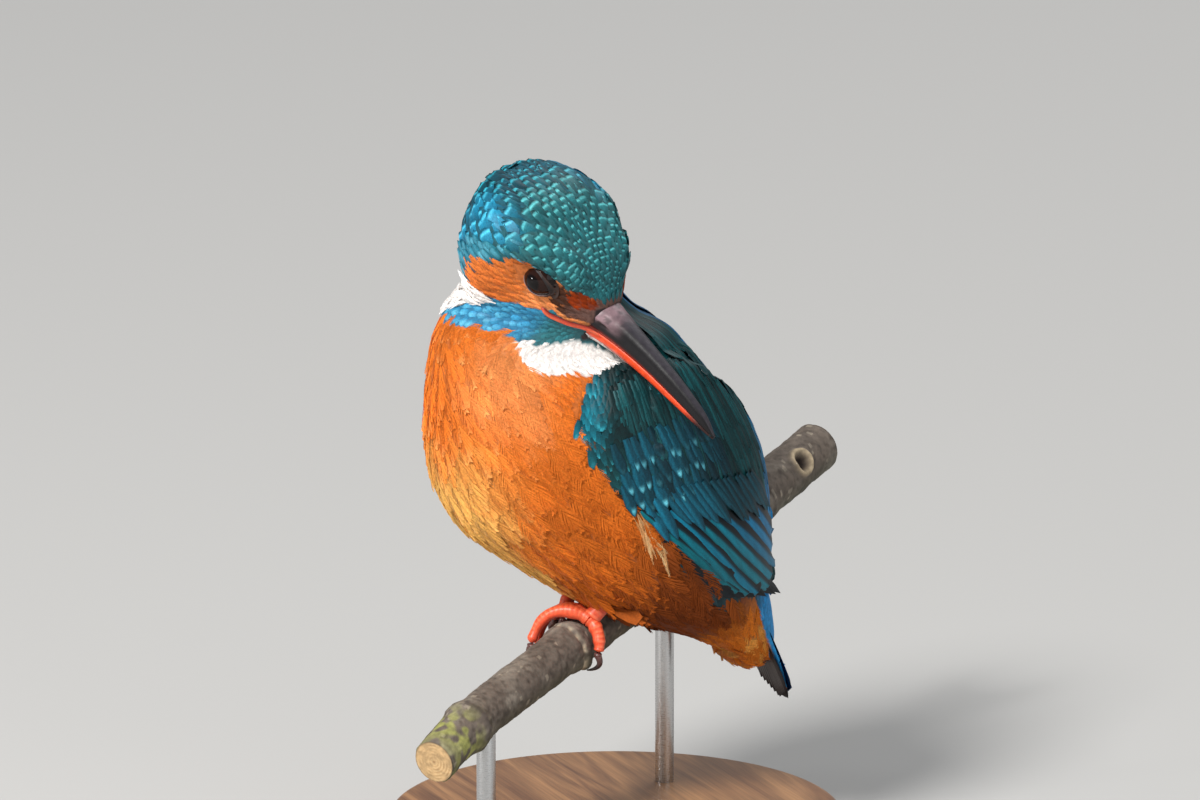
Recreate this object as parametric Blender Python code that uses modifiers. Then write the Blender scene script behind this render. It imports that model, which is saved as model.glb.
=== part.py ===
"""Common kingfisher, a life-size still model: the bird grips a cut length of branch on a plain stand.

Lengths are in millimetres and turned to metres when a mesh is made. The row frame has +Z up and its
origin at the middle of the stand's underside. The bird's body faces -Y and its left side is +X.
Bird coordinates are counted from GRIP, the point of the branch's axis under the bird's feet.
"""

import math

import bmesh
import bpy
import numpy as np
from mathutils import Matrix, Vector

MM = 0.001
GAP = 0.3  # clearance between two neighbouring solids
CUT = 0.35  # width of the thin cuts that part the flesh

# The stand and the branch
BASE_RADIUS = 48.0
BASE_THICKNESS = 10.0
ROD_RADIUS = 2.0
ROD_STEPS = (-42.0, 30.0)  # where the two rods meet the branch, along its axis from GRIP
ROD_DEPTH = 3.0  # how far a rod's ends go into the base and the branch
GRIP = Vector((0.0, -6.0, 50.0))
PERCH_BEARING = math.radians(36.0)  # from the way the tail points, towards the bird's right
PERCH_RISE = math.radians(11.2)
PERCH_START, PERCH_END = -62.0, 94.0
PERCH_RADIUS = 5.1

# The head: where its middle is and how it is turned from the body's heading
HEAD_CENTRE = Vector((5.6, -12.0, 85.5))
HEAD_TURN = math.radians(124.0)  # towards the bird's left
HEAD_PITCH = math.radians(-36.0)
HEAD_ROLL = math.radians(10.0)

# Body sections from the neck to the tail's root:
# along the back (y, z), half width, depth to the breast side, depth to the back
BODY_SECTIONS = (
    (-8.0, 80.0, 7.0, 9.0, 9.0),
    (-8.5, 74.5, 11.5, 18.0, 16.5),
    (-9.0, 66.5, 17.0, 26.5, 21.5),
    (-7.0, 57.0, 23.5, 31.0, 26.0),
    (-3.0, 45.0, 26.3, 34.2, 29.5),
    (3.0, 34.0, 27.0, 29.8, 29.0),
    (10.0, 23.0, 25.5, 23.5, 26.5),
    (18.0, 13.0, 21.5, 17.0, 20.5),
    (26.0, 4.0, 16.0, 10.5, 15.0),
    (32.5, -4.0, 10.0, 6.0, 10.5),
    (37.5, -10.5, 5.0, 3.2, 6.0),
)
NECK_LEAN = -26.0  # the neck's swing to the side, for each NECK_LEAN_FROM of height above it
NECK_LEAN_FROM = 60.0
# The folded wings' outer side, from the shoulders to the tips: y, z, half width, depth to the back
WING_SECTIONS = (
    (-8.0, 70.0, 17.5, 22.0),
    (-6.0, 58.0, 24.5, 27.8),
    (-1.0, 45.0, 28.2, 30.8),
    (6.0, 33.0, 28.4, 31.2),
    (14.0, 22.0, 26.0, 28.5),
    (22.0, 12.5, 20.5, 22.5),
    (30.0, 5.0, 14.5, 15.5),
    (38.8, -0.6, 8.0, 8.8),
)
WING_LEADING = (74.0, 78.0, 80.0, 82.0, 90.0, 100.0)  # angle of the lower edge from the breast, bend to tip
WING_RIDGE = (140.0, 158.0, 165.0, 167.0, 168.0, 172.0)  # angle of the upper edge, beside the spine
RIGHT_WING_TUCK = 14.0  # degrees that its lower tips ride up, over the branch
WING_PROUD = 3.0  # thickness of the folded wing over the flank
WING_TIP_THICKNESS = 1.4
WING_LENGTH = 76.0
CUTTER_PROUD = 4.0  # how far a wing's cutter stands out of the body
WING_TIPS = 9  # feather tips that step along the wing's hind edge

# Head sections along its axis from the nape to the bill: place, half width, crown, throat, rise
HEAD_SECTIONS = (
    (-18.3, 4.0, 4.0, 4.0, 1.0),
    (-15.8, 10.5, 10.0, 10.0, 0.5),
    (-9.0, 16.0, 14.8, 16.5, 0.0),
    (-1.0, 17.2, 15.6, 18.5, 0.0),
    (5.5, 13.1, 14.3, 18.0, -0.3),
    (11.0, 11.0, 12.0, 15.0, -1.2),
    (16.5, 8.4, 8.8, 9.0, -2.2),
    (21.0, 4.4, 5.0, 4.8, -3.0),
)
HEAD_SQUARENESS = (2.3, 2.8)  # of the sections' lower and upper halves
EYE_CENTRE = (6.6, 9.9, 1.4)  # forward, to the side and up from the head's middle
EYE_RADIUS = 3.8

# Bill sections along the head's axis: place, half width, culmen above the gape line, chin below it
BILL_SECTIONS = (
    (12.5, 6.4, 5.0, 4.2),
    (19.0, 4.4, 5.2, 3.9),
    (26.0, 3.1, 4.5, 3.2),
    (34.0, 2.3, 3.7, 2.6),
    (42.0, 1.8, 3.0, 2.1),
    (50.0, 1.2, 1.9, 1.4),
    (54.4, 0.35, 0.5, 0.35),
)
GAPE_HEIGHT = -4.7  # the gape line's ends over the head's axis
GAPE_ARCH = 1.6  # how far the line rises between them

# The tail plate, root to tip in bird coordinates
TAIL_ROOT = Vector((0.0, 30.0, 11.5))
TAIL_TIP = Vector((0.0, 43.8, -18.5))
TAIL_HALF_WIDTHS = (6.0, 7.5, 8.2, 7.6, 4.5)
TAIL_THICKNESS = 2.4
TAIL_TIP_THICKNESS = 1.2

# Legs. A toe is a run over the branch: steps along its axis and angles round it, 0 on top and
# positive towards the breast side.
TARSUS_RADIUS = 1.7
KNEE = (9.0, 8.0, 17.0)  # where the tarsus ends inside the belly
PAD_RADIUS = 2.0
TOE_RADIUS = 1.45
CLAW_LENGTH = 4.6
CLAW_ARCH = 1.1
LEFT_SOLE = (-6.0, -37.0)  # step along the branch and angle round it where the toes meet
RIGHT_SOLE = (5.5, 6.0)
KNUCKLE_RISE = (0.5, 1.8)  # how high the left and the right foot's toes arch
LEFT_TOES = (  # name, end step and end angle of each toe
    ("1_hind", -8.5, -92.0),
    ("2_inner", -4.0, 56.0),
    ("3_middle", -9.0, 96.0),
    ("4_outer", -13.0, 74.0),
)
RIGHT_TOES = (
    ("1_hind", 9.0, -62.0),
    ("2_inner", -0.5, 70.0),
    ("3_middle", 4.5, 104.0),
    ("4_outer", 10.0, 86.0),
)


CUTS = (  # the thin cuts between tail, trunk, neck and head: a point from GRIP and the cut's normal
    ("cut_head", (-2.0, -9.0, 74.0), (0.12, -0.10, 1.0)),
    ("cut_neck", (0.0, -9.0, 63.5), (0.0, 0.05, 1.0)),
    ("cut_tail", (0.0, 33.0, 1.0), (0.0, 0.42, -0.9)),
)
FLESH_TRIANGLES = 1800

FINISHES = (  # the start of the nodes' names, colour, roughness, metallic
    ("head", (0.020, 0.170, 0.190), 0.60, 0.0),
    ("neck", (0.640, 0.420, 0.260), 0.85, 0.0),
    ("trunk", (0.640, 0.200, 0.035), 0.85, 0.0),
    ("tail", (0.010, 0.110, 0.260), 0.60, 0.0),
    ("wing", (0.008, 0.130, 0.170), 0.60, 0.0),
    ("bill_upper", (0.018, 0.017, 0.020), 0.35, 0.0),
    ("bill_lower", (0.720, 0.120, 0.020), 0.35, 0.0),
    ("eye", (0.018, 0.008, 0.005), 0.05, 0.0),
    ("leg", (0.780, 0.100, 0.030), 0.45, 0.0),
    ("claw", (0.060, 0.025, 0.015), 0.35, 0.0),
    ("perch", (0.190, 0.165, 0.140), 0.85, 0.0),
    ("stand_base", (0.420, 0.270, 0.150), 0.55, 0.0),
    ("stand_rod", (0.560, 0.560, 0.570), 0.35, 1.0),
)


# --- shapes ---------------------------------------------------------------------------------------


def spline(rows, at):
    """Rows of numbers read at places from 0 to 1 along a natural cubic through them."""
    rows = np.atleast_2d(np.array(rows, float))
    rows = rows.T if rows.shape[0] == 1 else rows
    last = len(rows) - 1
    system = np.eye(last + 1)
    pull = np.zeros_like(rows)
    for i in range(1, last):
        system[i, i - 1 : i + 2] = (1, 4, 1)
        pull[i] = 6 * (rows[i - 1] - 2 * rows[i] + rows[i + 1])
    bend = np.linalg.solve(system, pull)
    place = np.clip(np.asarray(at, float), 0, 1) * last
    low = np.minimum(place.astype(int), last - 1)
    b = (place - low)[..., None]
    a = 1 - b
    return (
        a * rows[low]
        + b * rows[low + 1]
        + ((a**3 - a) * bend[low] + (b**3 - b) * bend[low + 1]) / 6
    )


def mesh_object(name, points, faces, collection="kingfisher"):
    """A mesh object from points in millimetres, with its faces turned outwards."""
    mesh = bpy.data.meshes.new(name)
    mesh.from_pydata([tuple(p) for p in np.asarray(points, float) * MM], [], faces)
    obj = bpy.data.objects.new(name, mesh)
    bpy.data.collections[collection].objects.link(obj)
    shell = bmesh.new()
    shell.from_mesh(mesh)
    bmesh.ops.recalc_face_normals(shell, faces=shell.faces)
    shell.to_mesh(mesh)
    shell.free()
    return obj


def grid_faces(rings, sides, closed=True):
    """Quads between rings of points, and the two end faces if the rings are closed."""
    faces = []
    for i in range(rings - 1):
        for j in range(sides if closed else sides - 1):
            k = (j + 1) % sides
            faces.append((i * sides + j, i * sides + k, (i + 1) * sides + k, (i + 1) * sides + j))
    if closed:
        faces.append(tuple(range(sides)))
        faces.append(tuple((rings - 1) * sides + j for j in reversed(range(sides))))
    return faces


def ring(centre, side, up, half_width, above, below, sides, power=2.0, power_above=None):
    """One closed section: half_width along side, above and below along up, squarer with power."""
    angle = np.arange(sides) * 2 * math.pi / sides
    power = np.where(np.cos(angle) > 0, power_above or power, power)
    wide = np.sign(np.sin(angle)) * np.abs(np.sin(angle)) ** (2 / power) * half_width
    high = np.sign(np.cos(angle)) * np.abs(np.cos(angle)) ** (2 / power)
    high = np.where(high > 0, high * above, high * below)
    return np.array(centre) + np.outer(wide, side) + np.outer(high, up)


def body_frame(sections, at):
    """Section values at places along the body, with the way to the back at each."""
    at = np.asarray(at, float)
    values = spline(sections, at)
    step = 1e-3
    along = spline(sections, at + step)[..., :2] - spline(sections, at - step)[..., :2]
    along /= np.linalg.norm(along, axis=-1, keepdims=True)
    back = np.stack([np.zeros_like(at), -along[..., 1], along[..., 0]], axis=-1)
    return values, back


def neck_lean(height):
    """The neck swings to the bird's right, away from the turned head."""
    return NECK_LEAN * max(0.0, (height - NECK_LEAN_FROM) / NECK_LEAN_FROM) ** 1.3


def body_loft(name, rings=22, sides=28):
    """The trunk from the neck to the tail's root, with no wings."""
    at = np.linspace(0, 1, rings)
    values, back = body_frame(BODY_SECTIONS, at)
    points = np.concatenate(
        [
            ring((neck_lean(v[1]), v[0], v[1]), (1, 0, 0), b, v[2], v[4], v[3], sides)
            for v, b in zip(values, back)
        ]
    )
    return mesh_object(name, points + np.array(GRIP), grid_faces(rings, sides), "helpers")


def head_matrix():
    """Head coordinates (forward, right, up) to the row frame, in millimetres."""
    forward = Vector(
        (
            math.sin(HEAD_TURN) * math.cos(HEAD_PITCH),
            -math.cos(HEAD_TURN) * math.cos(HEAD_PITCH),
            math.sin(HEAD_PITCH),
        )
    )
    right = forward.cross(Vector((0, 0, 1))).normalized()
    up = right.cross(forward)
    turned_up = up * math.cos(HEAD_ROLL) + right * math.sin(HEAD_ROLL)
    turned_right = right * math.cos(HEAD_ROLL) - up * math.sin(HEAD_ROLL)
    matrix = Matrix((forward, turned_right, turned_up)).transposed().to_4x4()
    matrix.translation = GRIP + HEAD_CENTRE
    return matrix


def head_loft(name, rings=16, sides=26):
    """The head as one soft form from the nape to the bill's root."""
    to_row = head_matrix()
    values = spline(HEAD_SECTIONS, np.linspace(0, 1, rings))
    points = np.concatenate(
        [
            ring((v[0], 0, v[4]), (0, 1, 0), (0, 0, 1), v[1], v[2], v[3], sides, *HEAD_SQUARENESS)
            for v in values
        ]
    )
    points = [to_row @ Vector(p) for p in points]
    return mesh_object(name, points, grid_faces(rings, sides), "helpers")


# --- joining and cutting --------------------------------------------------------------------------


def baked(obj):
    """Applies the object's modifiers to its mesh."""
    graph = bpy.context.evaluated_depsgraph_get()
    mesh = bpy.data.meshes.new_from_object(obj.evaluated_get(graph))
    obj.modifiers.clear()
    obj.data = mesh
    return obj


def boolean(obj, other, operation):
    modifier = obj.modifiers.new(operation.lower(), "BOOLEAN")
    modifier.operation = operation
    modifier.object = other
    modifier.solver = "EXACT"
    return baked(obj)


def as_mesh(curve):
    """A mesh object in place of a curve, with the caps welded to the sides."""
    graph = bpy.context.evaluated_depsgraph_get()
    mesh = bpy.data.meshes.new_from_object(curve.evaluated_get(graph))
    obj = bpy.data.objects.new(curve.name + "_mesh", mesh)
    obj.matrix_world = curve.matrix_world
    collection = curve.users_collection[0]
    collection.objects.link(obj)
    name = curve.name
    bpy.data.objects.remove(curve)
    obj.name = name
    shell = bmesh.new()
    shell.from_mesh(mesh)
    bmesh.ops.remove_doubles(shell, verts=shell.verts, dist=1e-6)
    bmesh.ops.recalc_face_normals(shell, faces=shell.faces)
    shell.to_mesh(mesh)
    shell.free()
    return obj


def copy_of(obj, name, collection="helpers"):
    other = bpy.data.objects.new(name, obj.data.copy())
    other.matrix_world = obj.matrix_world
    bpy.data.collections[collection].objects.link(other)
    return other


def swollen(obj, name, by=GAP):
    """A helper with the object's shape, grown by a clearance along its normals."""
    other = copy_of(obj, name)
    modifier = other.modifiers.new("grow", "DISPLACE")
    modifier.strength = by * MM
    modifier.mid_level = 0.0
    return baked(other)


def slab(name, point, normal, thickness=CUT, reach=120.0):
    """A helper plate across the body, for one thin cut."""
    obj = box_helper(name, (reach, reach, thickness))
    obj.location = Vector(point) * MM
    obj.rotation_euler = Vector(normal).to_track_quat("Z", "Y").to_euler()
    bpy.context.view_layer.update()
    return obj


def box_helper(name, size):
    mesh = bpy.data.meshes.new(name)
    shell = bmesh.new()
    bmesh.ops.create_cube(shell, size=1.0)
    bmesh.ops.scale(shell, vec=Vector(size) * MM, verts=shell.verts)
    shell.to_mesh(mesh)
    shell.free()
    obj = bpy.data.objects.new(name, mesh)
    bpy.data.collections["helpers"].objects.link(obj)
    return obj


def pieces_of(obj, names):
    """Parts a mesh at its loose pieces and names them in their order from the lowest up."""
    shell = bmesh.new()
    shell.from_mesh(obj.data)
    left = set(shell.verts)
    groups = []
    while left:
        queue = [left.pop()]
        group = set(queue)
        while queue:
            for edge in queue.pop().link_edges:
                for vert in edge.verts:
                    if vert in left:
                        left.remove(vert)
                        group.add(vert)
                        queue.append(vert)
        groups.append({v.index for v in group})
    shell.free()
    groups = sorted(groups, key=len)[-len(names) :]
    heights = [sum(obj.data.vertices[i].co.z for i in g) / len(g) for g in groups]
    made = []
    for name, (_, group) in zip(names, sorted(zip(heights, groups), key=lambda pair: pair[0])):
        other = copy_of(obj, name, "kingfisher")
        shell = bmesh.new()
        shell.from_mesh(other.data)
        bmesh.ops.delete(shell, geom=[v for v in shell.verts if v.index not in group], context="VERTS")
        shell.to_mesh(other.data)
        shell.free()
        made.append(other)
    bpy.data.objects.remove(obj)
    return made


# --- the bird -------------------------------------------------------------------------------------


def flesh():
    """Trunk and head blended into one soft closed form."""
    body = body_loft("flesh")
    head = head_loft("head_form")
    boolean(body, head, "UNION")
    remesh = body.modifiers.new("blend", "REMESH")
    remesh.mode = "VOXEL"
    remesh.voxel_size = 1.6 * MM
    smooth = body.modifiers.new("soften", "SMOOTH")
    smooth.factor = 0.5
    smooth.iterations = 7
    baked(body)
    thin = body.modifiers.new("thin", "DECIMATE")
    thin.ratio = FLESH_TRIANGLES / (2 * len(body.data.polygons))
    return baked(body)


def wing_surface(at, angle, inset):
    """Points of the folded wing's outer side, moved inwards by inset, on the bird's left."""
    values, back = body_frame(WING_SECTIONS, at)
    wide = np.sin(angle) * np.maximum(values[..., 2] - inset, 0.4)
    deep = -np.cos(angle) * np.maximum(values[..., 3] - inset, 0.4)
    centre = np.stack([np.zeros_like(wide), values[..., 0], values[..., 1]], axis=-1)
    side = np.array((1.0, 0.0, 0.0))
    return centre + wide[..., None] * side + deep[..., None] * back


def wing_shell(name, side, room=0.0, collection="kingfisher", rows=13, columns=11):
    """A folded wing as a thin shell over the flank, its hind edge stepped by the feather tips.

    With some room it is a cutter instead: wider and deeper by that much and proud of the body.
    """
    share = np.linspace(0, 1, columns)
    places = np.linspace(0, 1, rows)
    ridge = spline([(a,) for a in WING_RIDGE], places)[:, 0] + 3 * room
    lower = spline([(a,) for a in WING_LEADING], places)[:, 0] - 3 * room
    if side < 0:
        lower += RIGHT_WING_TUCK * places**2
    tips = 0.025 * np.abs(np.cos(share * WING_TIPS * math.pi))
    hind = 0.88 + 0.12 * share - tips + room / WING_LENGTH
    front = 0.10 + 0.10 * (1 - np.sin(share * math.pi) ** 0.5) - room / WING_LENGTH
    outer, inner = [], []
    for i, u in enumerate(places):
        at = front + (hind - front) * u
        angle = np.radians(lower[i] + (ridge[i] - lower[i]) * share)
        rim = np.sqrt(np.clip(1 - np.abs(2 * share - 1) ** 6, 0, 1))
        rim *= math.sqrt(max(0.0, 1 - (1 - min(1.0, u / 0.12)) ** 2)) * 0.8 + 0.2
        thick = WING_PROUD + (WING_TIP_THICKNESS - WING_PROUD) * min(1.0, u * 1.1) ** 2
        lift = thick * (1 - rim) * 0.7 if room == 0 else np.full_like(at, -CUTTER_PROUD)
        outer.append(wing_surface(at, angle, lift))
        inner.append(wing_surface(at, angle, np.full_like(at, thick + room)))
    points = np.concatenate([np.concatenate(outer), np.concatenate(inner)])
    points[:, 0] *= side
    half = rows * columns
    top = grid_faces(rows, columns, closed=False)
    faces = top + [tuple(half + i for i in reversed(f)) for f in top]
    border = list(range(columns))
    border += [i * columns + columns - 1 for i in range(1, rows)]
    border += [(rows - 1) * columns + j for j in reversed(range(columns - 1))]
    border += [i * columns for i in reversed(range(1, rows - 1))]
    for a, b in zip(border, border[1:] + border[:1]):
        faces.append((b, a, half + a, half + b))
    return mesh_object(name, points + np.array(GRIP), faces, collection)


def tail_plate():
    """The closed tail feathers as one thin plate with a rounded end."""
    along = (TAIL_TIP - TAIL_ROOT).normalized()
    up = Vector((0, -along.z, along.y))
    rings = 12
    points = []
    for t in np.linspace(0, 1, rings):
        half = float(spline([(w,) for w in TAIL_HALF_WIDTHS], t)[0])
        thick = (TAIL_THICKNESS + (TAIL_TIP_THICKNESS - TAIL_THICKNESS) * t) / 2
        centre = TAIL_ROOT + (TAIL_TIP - TAIL_ROOT) * t + up * 0.8 * math.sin(t * math.pi)
        points.append(ring(centre, (1, 0, 0), up, half, thick, thick, 16, 2.6))
    points = np.concatenate(points) + np.array(GRIP)
    return mesh_object("tail_plate", points, grid_faces(rings, 16), "helpers")


def bill_half(name, upper):
    """One mandible, flat along the gape line and rounded outside."""
    to_row = head_matrix()
    rings, sides = 12, 9
    points = []
    for t in np.linspace(0, 1, rings):
        place, half, culmen, chin = spline(BILL_SECTIONS, t)
        line = GAPE_HEIGHT + GAPE_ARCH * math.sin(t * math.pi)
        angle = np.linspace(0, math.pi, sides)
        wide = np.sign(np.cos(angle)) * np.abs(np.cos(angle)) ** 0.55 * half
        tall = np.sin(angle) ** (0.85 if upper else 1.0)
        high = tall * (culmen - GAP / 2) + GAP / 2 if upper else -(tall * (chin - GAP / 2) + GAP / 2)
        points.append(np.stack([np.full(sides, place), wide, line + high], axis=1))
    points = [to_row @ Vector(p) for p in np.concatenate(points)]
    return mesh_object(name, points, grid_faces(rings, sides))


def eyeball(side):
    to_row = head_matrix()
    mesh = bpy.data.meshes.new("eye")
    shell = bmesh.new()
    bmesh.ops.create_icosphere(shell, subdivisions=2, radius=EYE_RADIUS * MM)
    shell.to_mesh(mesh)
    shell.free()
    obj = bpy.data.objects.new("eye_right" if side > 0 else "eye_left", mesh)
    bpy.data.collections["kingfisher"].objects.link(obj)
    obj.location = (to_row @ Vector((EYE_CENTRE[0], side * EYE_CENTRE[1], EYE_CENTRE[2]))) * MM
    bpy.context.view_layer.update()
    return obj


# --- the branch, the feet and the stand -----------------------------------------------------------


def perch_axes():
    """The branch's direction, the way to the bird's breast side and the way up from it."""
    level = Vector((-math.sin(PERCH_BEARING), math.cos(PERCH_BEARING), 0))
    along = level * math.cos(PERCH_RISE) + Vector((0, 0, math.sin(PERCH_RISE)))
    breast = Vector((0, 0, 1)).cross(level)
    return along, breast, along.cross(breast)


def perch_radius(step):
    """The branch's radius: it swells at two nodes and thickens a little towards its butt."""
    radius = PERCH_RADIUS + 0.004 * step
    radius += 0.55 * math.exp(-(((step + 9.0) / 2.0) ** 2))
    radius += 0.75 * math.exp(-(((step + 49.0) / 2.6) ** 2))
    radius += 0.45 * math.exp(-(((step - 67.0) / 3.0) ** 2))
    return radius


def perch_bend(step):
    """How far the branch's axis lies under a straight line: it droops a little before its first node."""
    return -0.005 * max(0.0, -step - 40.0) ** 2 + 0.0002 * max(0.0, step) ** 2


def perch_point(step, angle=0.0, radius=0.0):
    """A row-frame point: step along the branch, at an angle from its top and a distance from its axis."""
    along, breast, up = perch_axes()
    middle = GRIP + along * step + Vector((0, 0, perch_bend(step)))
    return middle + (up * math.cos(angle) + breast * math.sin(angle)) * radius


def perch(rings=27, sides=12):
    points = []
    for step in np.linspace(PERCH_START, PERCH_END, rings):
        end = min(step - PERCH_START, PERCH_END - step)
        radius = perch_radius(step) - (0.5 if end < 0.1 else 0.0)
        points += [perch_point(step, a, radius) for a in np.arange(sides) * 2 * math.pi / sides]
    return mesh_object("perch", points, grid_faces(rings, sides))


def tube(name, points, radii, sides=8, collection="kingfisher"):
    """A round tube through points, with its own radius at each, as a poly curve with filled caps."""
    curve = bpy.data.curves.new(name, "CURVE")
    curve.dimensions = "3D"
    curve.bevel_depth = MM
    curve.bevel_resolution = (sides - 4) // 2
    curve.use_fill_caps = True
    line = curve.splines.new("POLY")
    line.points.add(len(points) - 1)
    for knot, point, radius in zip(line.points, points, radii):
        knot.co = (*(Vector(point) * MM), 1.0)
        knot.radius = radius
    obj = bpy.data.objects.new(name, curve)
    bpy.data.collections[collection].objects.link(obj)
    bpy.context.view_layer.update()
    return as_mesh(obj)


def toe_line(sole, end, rise, knots=6):
    """The middle line of a toe over the branch, from the sole to where its claw starts."""
    points = []
    for t in np.linspace(0, 1, knots):
        at = sole[0] + (end[0] - sole[0]) * t**1.6
        turn = math.radians(sole[1] + (end[1] - sole[1]) * t)
        clear = perch_radius(at) + TOE_RADIUS * (1 - 0.2 * t) + GAP + 0.3
        points.append(perch_point(at, turn, clear + rise * math.sin(t * math.pi)))
    return points


def claw(name, end, turn):
    """A curved claw a gap past a toe's end, arched over the bark; returns the helper that clears it."""
    step, angle = end
    points, radii = [], []
    for t in np.linspace(0, 1, 6):
        radii.append(0.7 * (1 - t) ** 0.7 + 0.26)
        out = perch_radius(step) + 1.5 - 0.8 * t + CLAW_ARCH * math.sin(t * math.pi)
        swing = turn * (3 * GAP + CLAW_LENGTH * t) / out
        points.append(perch_point(step, math.radians(angle) + swing, out))
    tube(name, points, radii, 6)
    return tube("clear_of_" + name, points, [r + GAP for r in radii], 6, "helpers")


def leg(name, side, sole, toes, rise):
    """Tarsus and four toes as one solid, its four claws, and helpers a gap larger to cut the belly."""
    foot = perch_point(sole[0], math.radians(sole[1]), perch_radius(sole[0]) + TOE_RADIUS + GAP + 0.6)
    knee = GRIP + Vector((side * KNEE[0], KNEE[1], KNEE[2]))
    cutters = []
    rods = [("shank", [foot, foot.lerp(knee, 0.5), knee], [TARSUS_RADIUS * f for f in (1.1, 1.0, 1.0)])]
    for toe, step, angle in toes:
        line = toe_line(sole, (step, angle), rise if angle > 0 else 0.2)
        rods.append((toe, line, [TOE_RADIUS * (1.05 - 0.3 * t) for t in np.linspace(0, 1, len(line))]))
        cutters.append(claw(f"claw_{name}_{toe}", (step, angle), math.copysign(1, angle)))
    body = tube("leg_" + name, rods[0][1], rods[0][2])
    boolean(body, ball_helper("pad", foot, PAD_RADIUS), "UNION")
    cutters.append(ball_helper("clear_of_pad", foot, PAD_RADIUS + GAP))
    for toe, line, radii in rods:
        if toe != "shank":
            boolean(body, tube("toe_" + toe, line, radii, 6, "helpers"), "UNION")
        end = line[-1] + (line[-1] - line[-2]).normalized() * GAP
        roomy = [r + GAP for r in radii]
        cutters.append(tube("clear_of_" + toe, [*line[:-1], end], roomy, 6, "helpers"))
    return body, cutters


def ball_helper(name, centre, radius):
    mesh = bpy.data.meshes.new(name)
    shell = bmesh.new()
    bmesh.ops.create_icosphere(shell, subdivisions=2, radius=radius * MM)
    shell.to_mesh(mesh)
    shell.free()
    obj = bpy.data.objects.new(name, mesh)
    bpy.data.collections["helpers"].objects.link(obj)
    obj.location = centre * MM
    bpy.context.view_layer.update()
    return obj


def rod(name, step):
    """An upright rod from a socket in the base to a socket in the branch's underside."""
    top = perch_point(step, math.pi, perch_radius(step) - ROD_DEPTH)
    low = Vector((top.x, top.y, BASE_THICKNESS - ROD_DEPTH))
    return cylinder(name, low, top.z - low.z, ROD_RADIUS, 20)


def cylinder(name, low, height, radius, sides, collection="kingfisher"):
    mesh = bpy.data.meshes.new(name)
    shell = bmesh.new()
    bmesh.ops.create_cone(
        shell, cap_ends=True, segments=sides, radius1=radius * MM, radius2=radius * MM, depth=height * MM
    )
    shell.to_mesh(mesh)
    shell.free()
    obj = bpy.data.objects.new(name, mesh)
    bpy.data.collections[collection].objects.link(obj)
    obj.location = (low + Vector((0, 0, height / 2))) * MM
    bpy.context.view_layer.update()
    return obj


def stand_base():
    obj = cylinder("stand_base", Vector((0, 0, 0)), BASE_THICKNESS, BASE_RADIUS, 40)
    bevel = obj.modifiers.new("edge", "BEVEL")
    bevel.width = 1.2 * MM
    bevel.segments = 1
    bevel.limit_method = "ANGLE"
    return baked(obj)


def material(name, colour, roughness, metallic=0.0):
    made = bpy.data.materials.new(name)
    made.use_nodes = True
    shader = made.node_tree.nodes["Principled BSDF"]
    shader.inputs["Base Color"].default_value = (*colour, 1.0)
    shader.inputs["Roughness"].default_value = roughness
    shader.inputs["Metallic"].default_value = metallic
    return made


def dress(obj, finish):
    obj.data.materials.clear()
    obj.data.materials.append(finish)
    obj.data.shade_smooth()
    obj.data.set_sharp_from_angle(angle=math.radians(40))


def build():
    for obj in list(bpy.data.objects):
        bpy.data.objects.remove(obj)
    for name in ("kingfisher", "helpers"):
        collection = bpy.data.collections.new(name)
        bpy.context.scene.collection.children.link(collection)
    bpy.data.collections["helpers"].hide_render = True

    branch = perch()
    legs = [
        leg("left", 1, LEFT_SOLE, LEFT_TOES, KNUCKLE_RISE[0]),
        leg("right", -1, RIGHT_SOLE, RIGHT_TOES, KNUCKLE_RISE[1]),
    ]
    leg_cutters = [cutter for _, cutters in legs for cutter in cutters]
    rods = [rod("stand_rod_front", ROD_STEPS[0]), rod("stand_rod_back", ROD_STEPS[1])]
    base = stand_base()
    for one in rods:
        socket = swollen(one, "socket")
        boolean(branch, socket, "DIFFERENCE")
        boolean(base, socket, "DIFFERENCE")

    wing_cutters = []
    for name, side in (("wing_left", 1), ("wing_right", -1)):
        wing_shell(name, side)
        wing_cutters.append(wing_shell("clear_of_" + name, side, GAP, "helpers"))
    bill = [bill_half("bill_upper", True), bill_half("bill_lower", False)]
    eyes = [eyeball(-1), eyeball(1)]
    body = flesh()
    boolean(body, tail_plate(), "UNION")
    cutters = [swollen(other, "clear_of_" + other.name) for other in [*bill, *eyes, branch]]
    for cutter in wing_cutters + cutters + leg_cutters:
        boolean(body, cutter, "DIFFERENCE")
    for name, point, normal in CUTS:
        boolean(body, slab(name, GRIP + Vector(point), normal), "DIFFERENCE")
    pieces_of(body, ("tail", "trunk", "neck", "head"))

    for name, colour, roughness, metallic in FINISHES:
        finish = material(name, colour, roughness, metallic)
        for obj in bpy.data.collections["kingfisher"].objects:
            if obj.name.startswith(name):
                dress(obj, finish)


build()
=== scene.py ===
"""A common kingfisher on a cut length of branch: skin, feathers, bare parts, bark and stand.

Places are in bird coordinates: millimetres from the point of the branch's axis under the feet, +Z up, the
breast towards -Y and the bird's left towards +X. Head coordinates are forward, right and up.
"""

import math

import bpy
import numpy as np
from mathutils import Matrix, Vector
from mathutils.bvhtree import BVHTree


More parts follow.
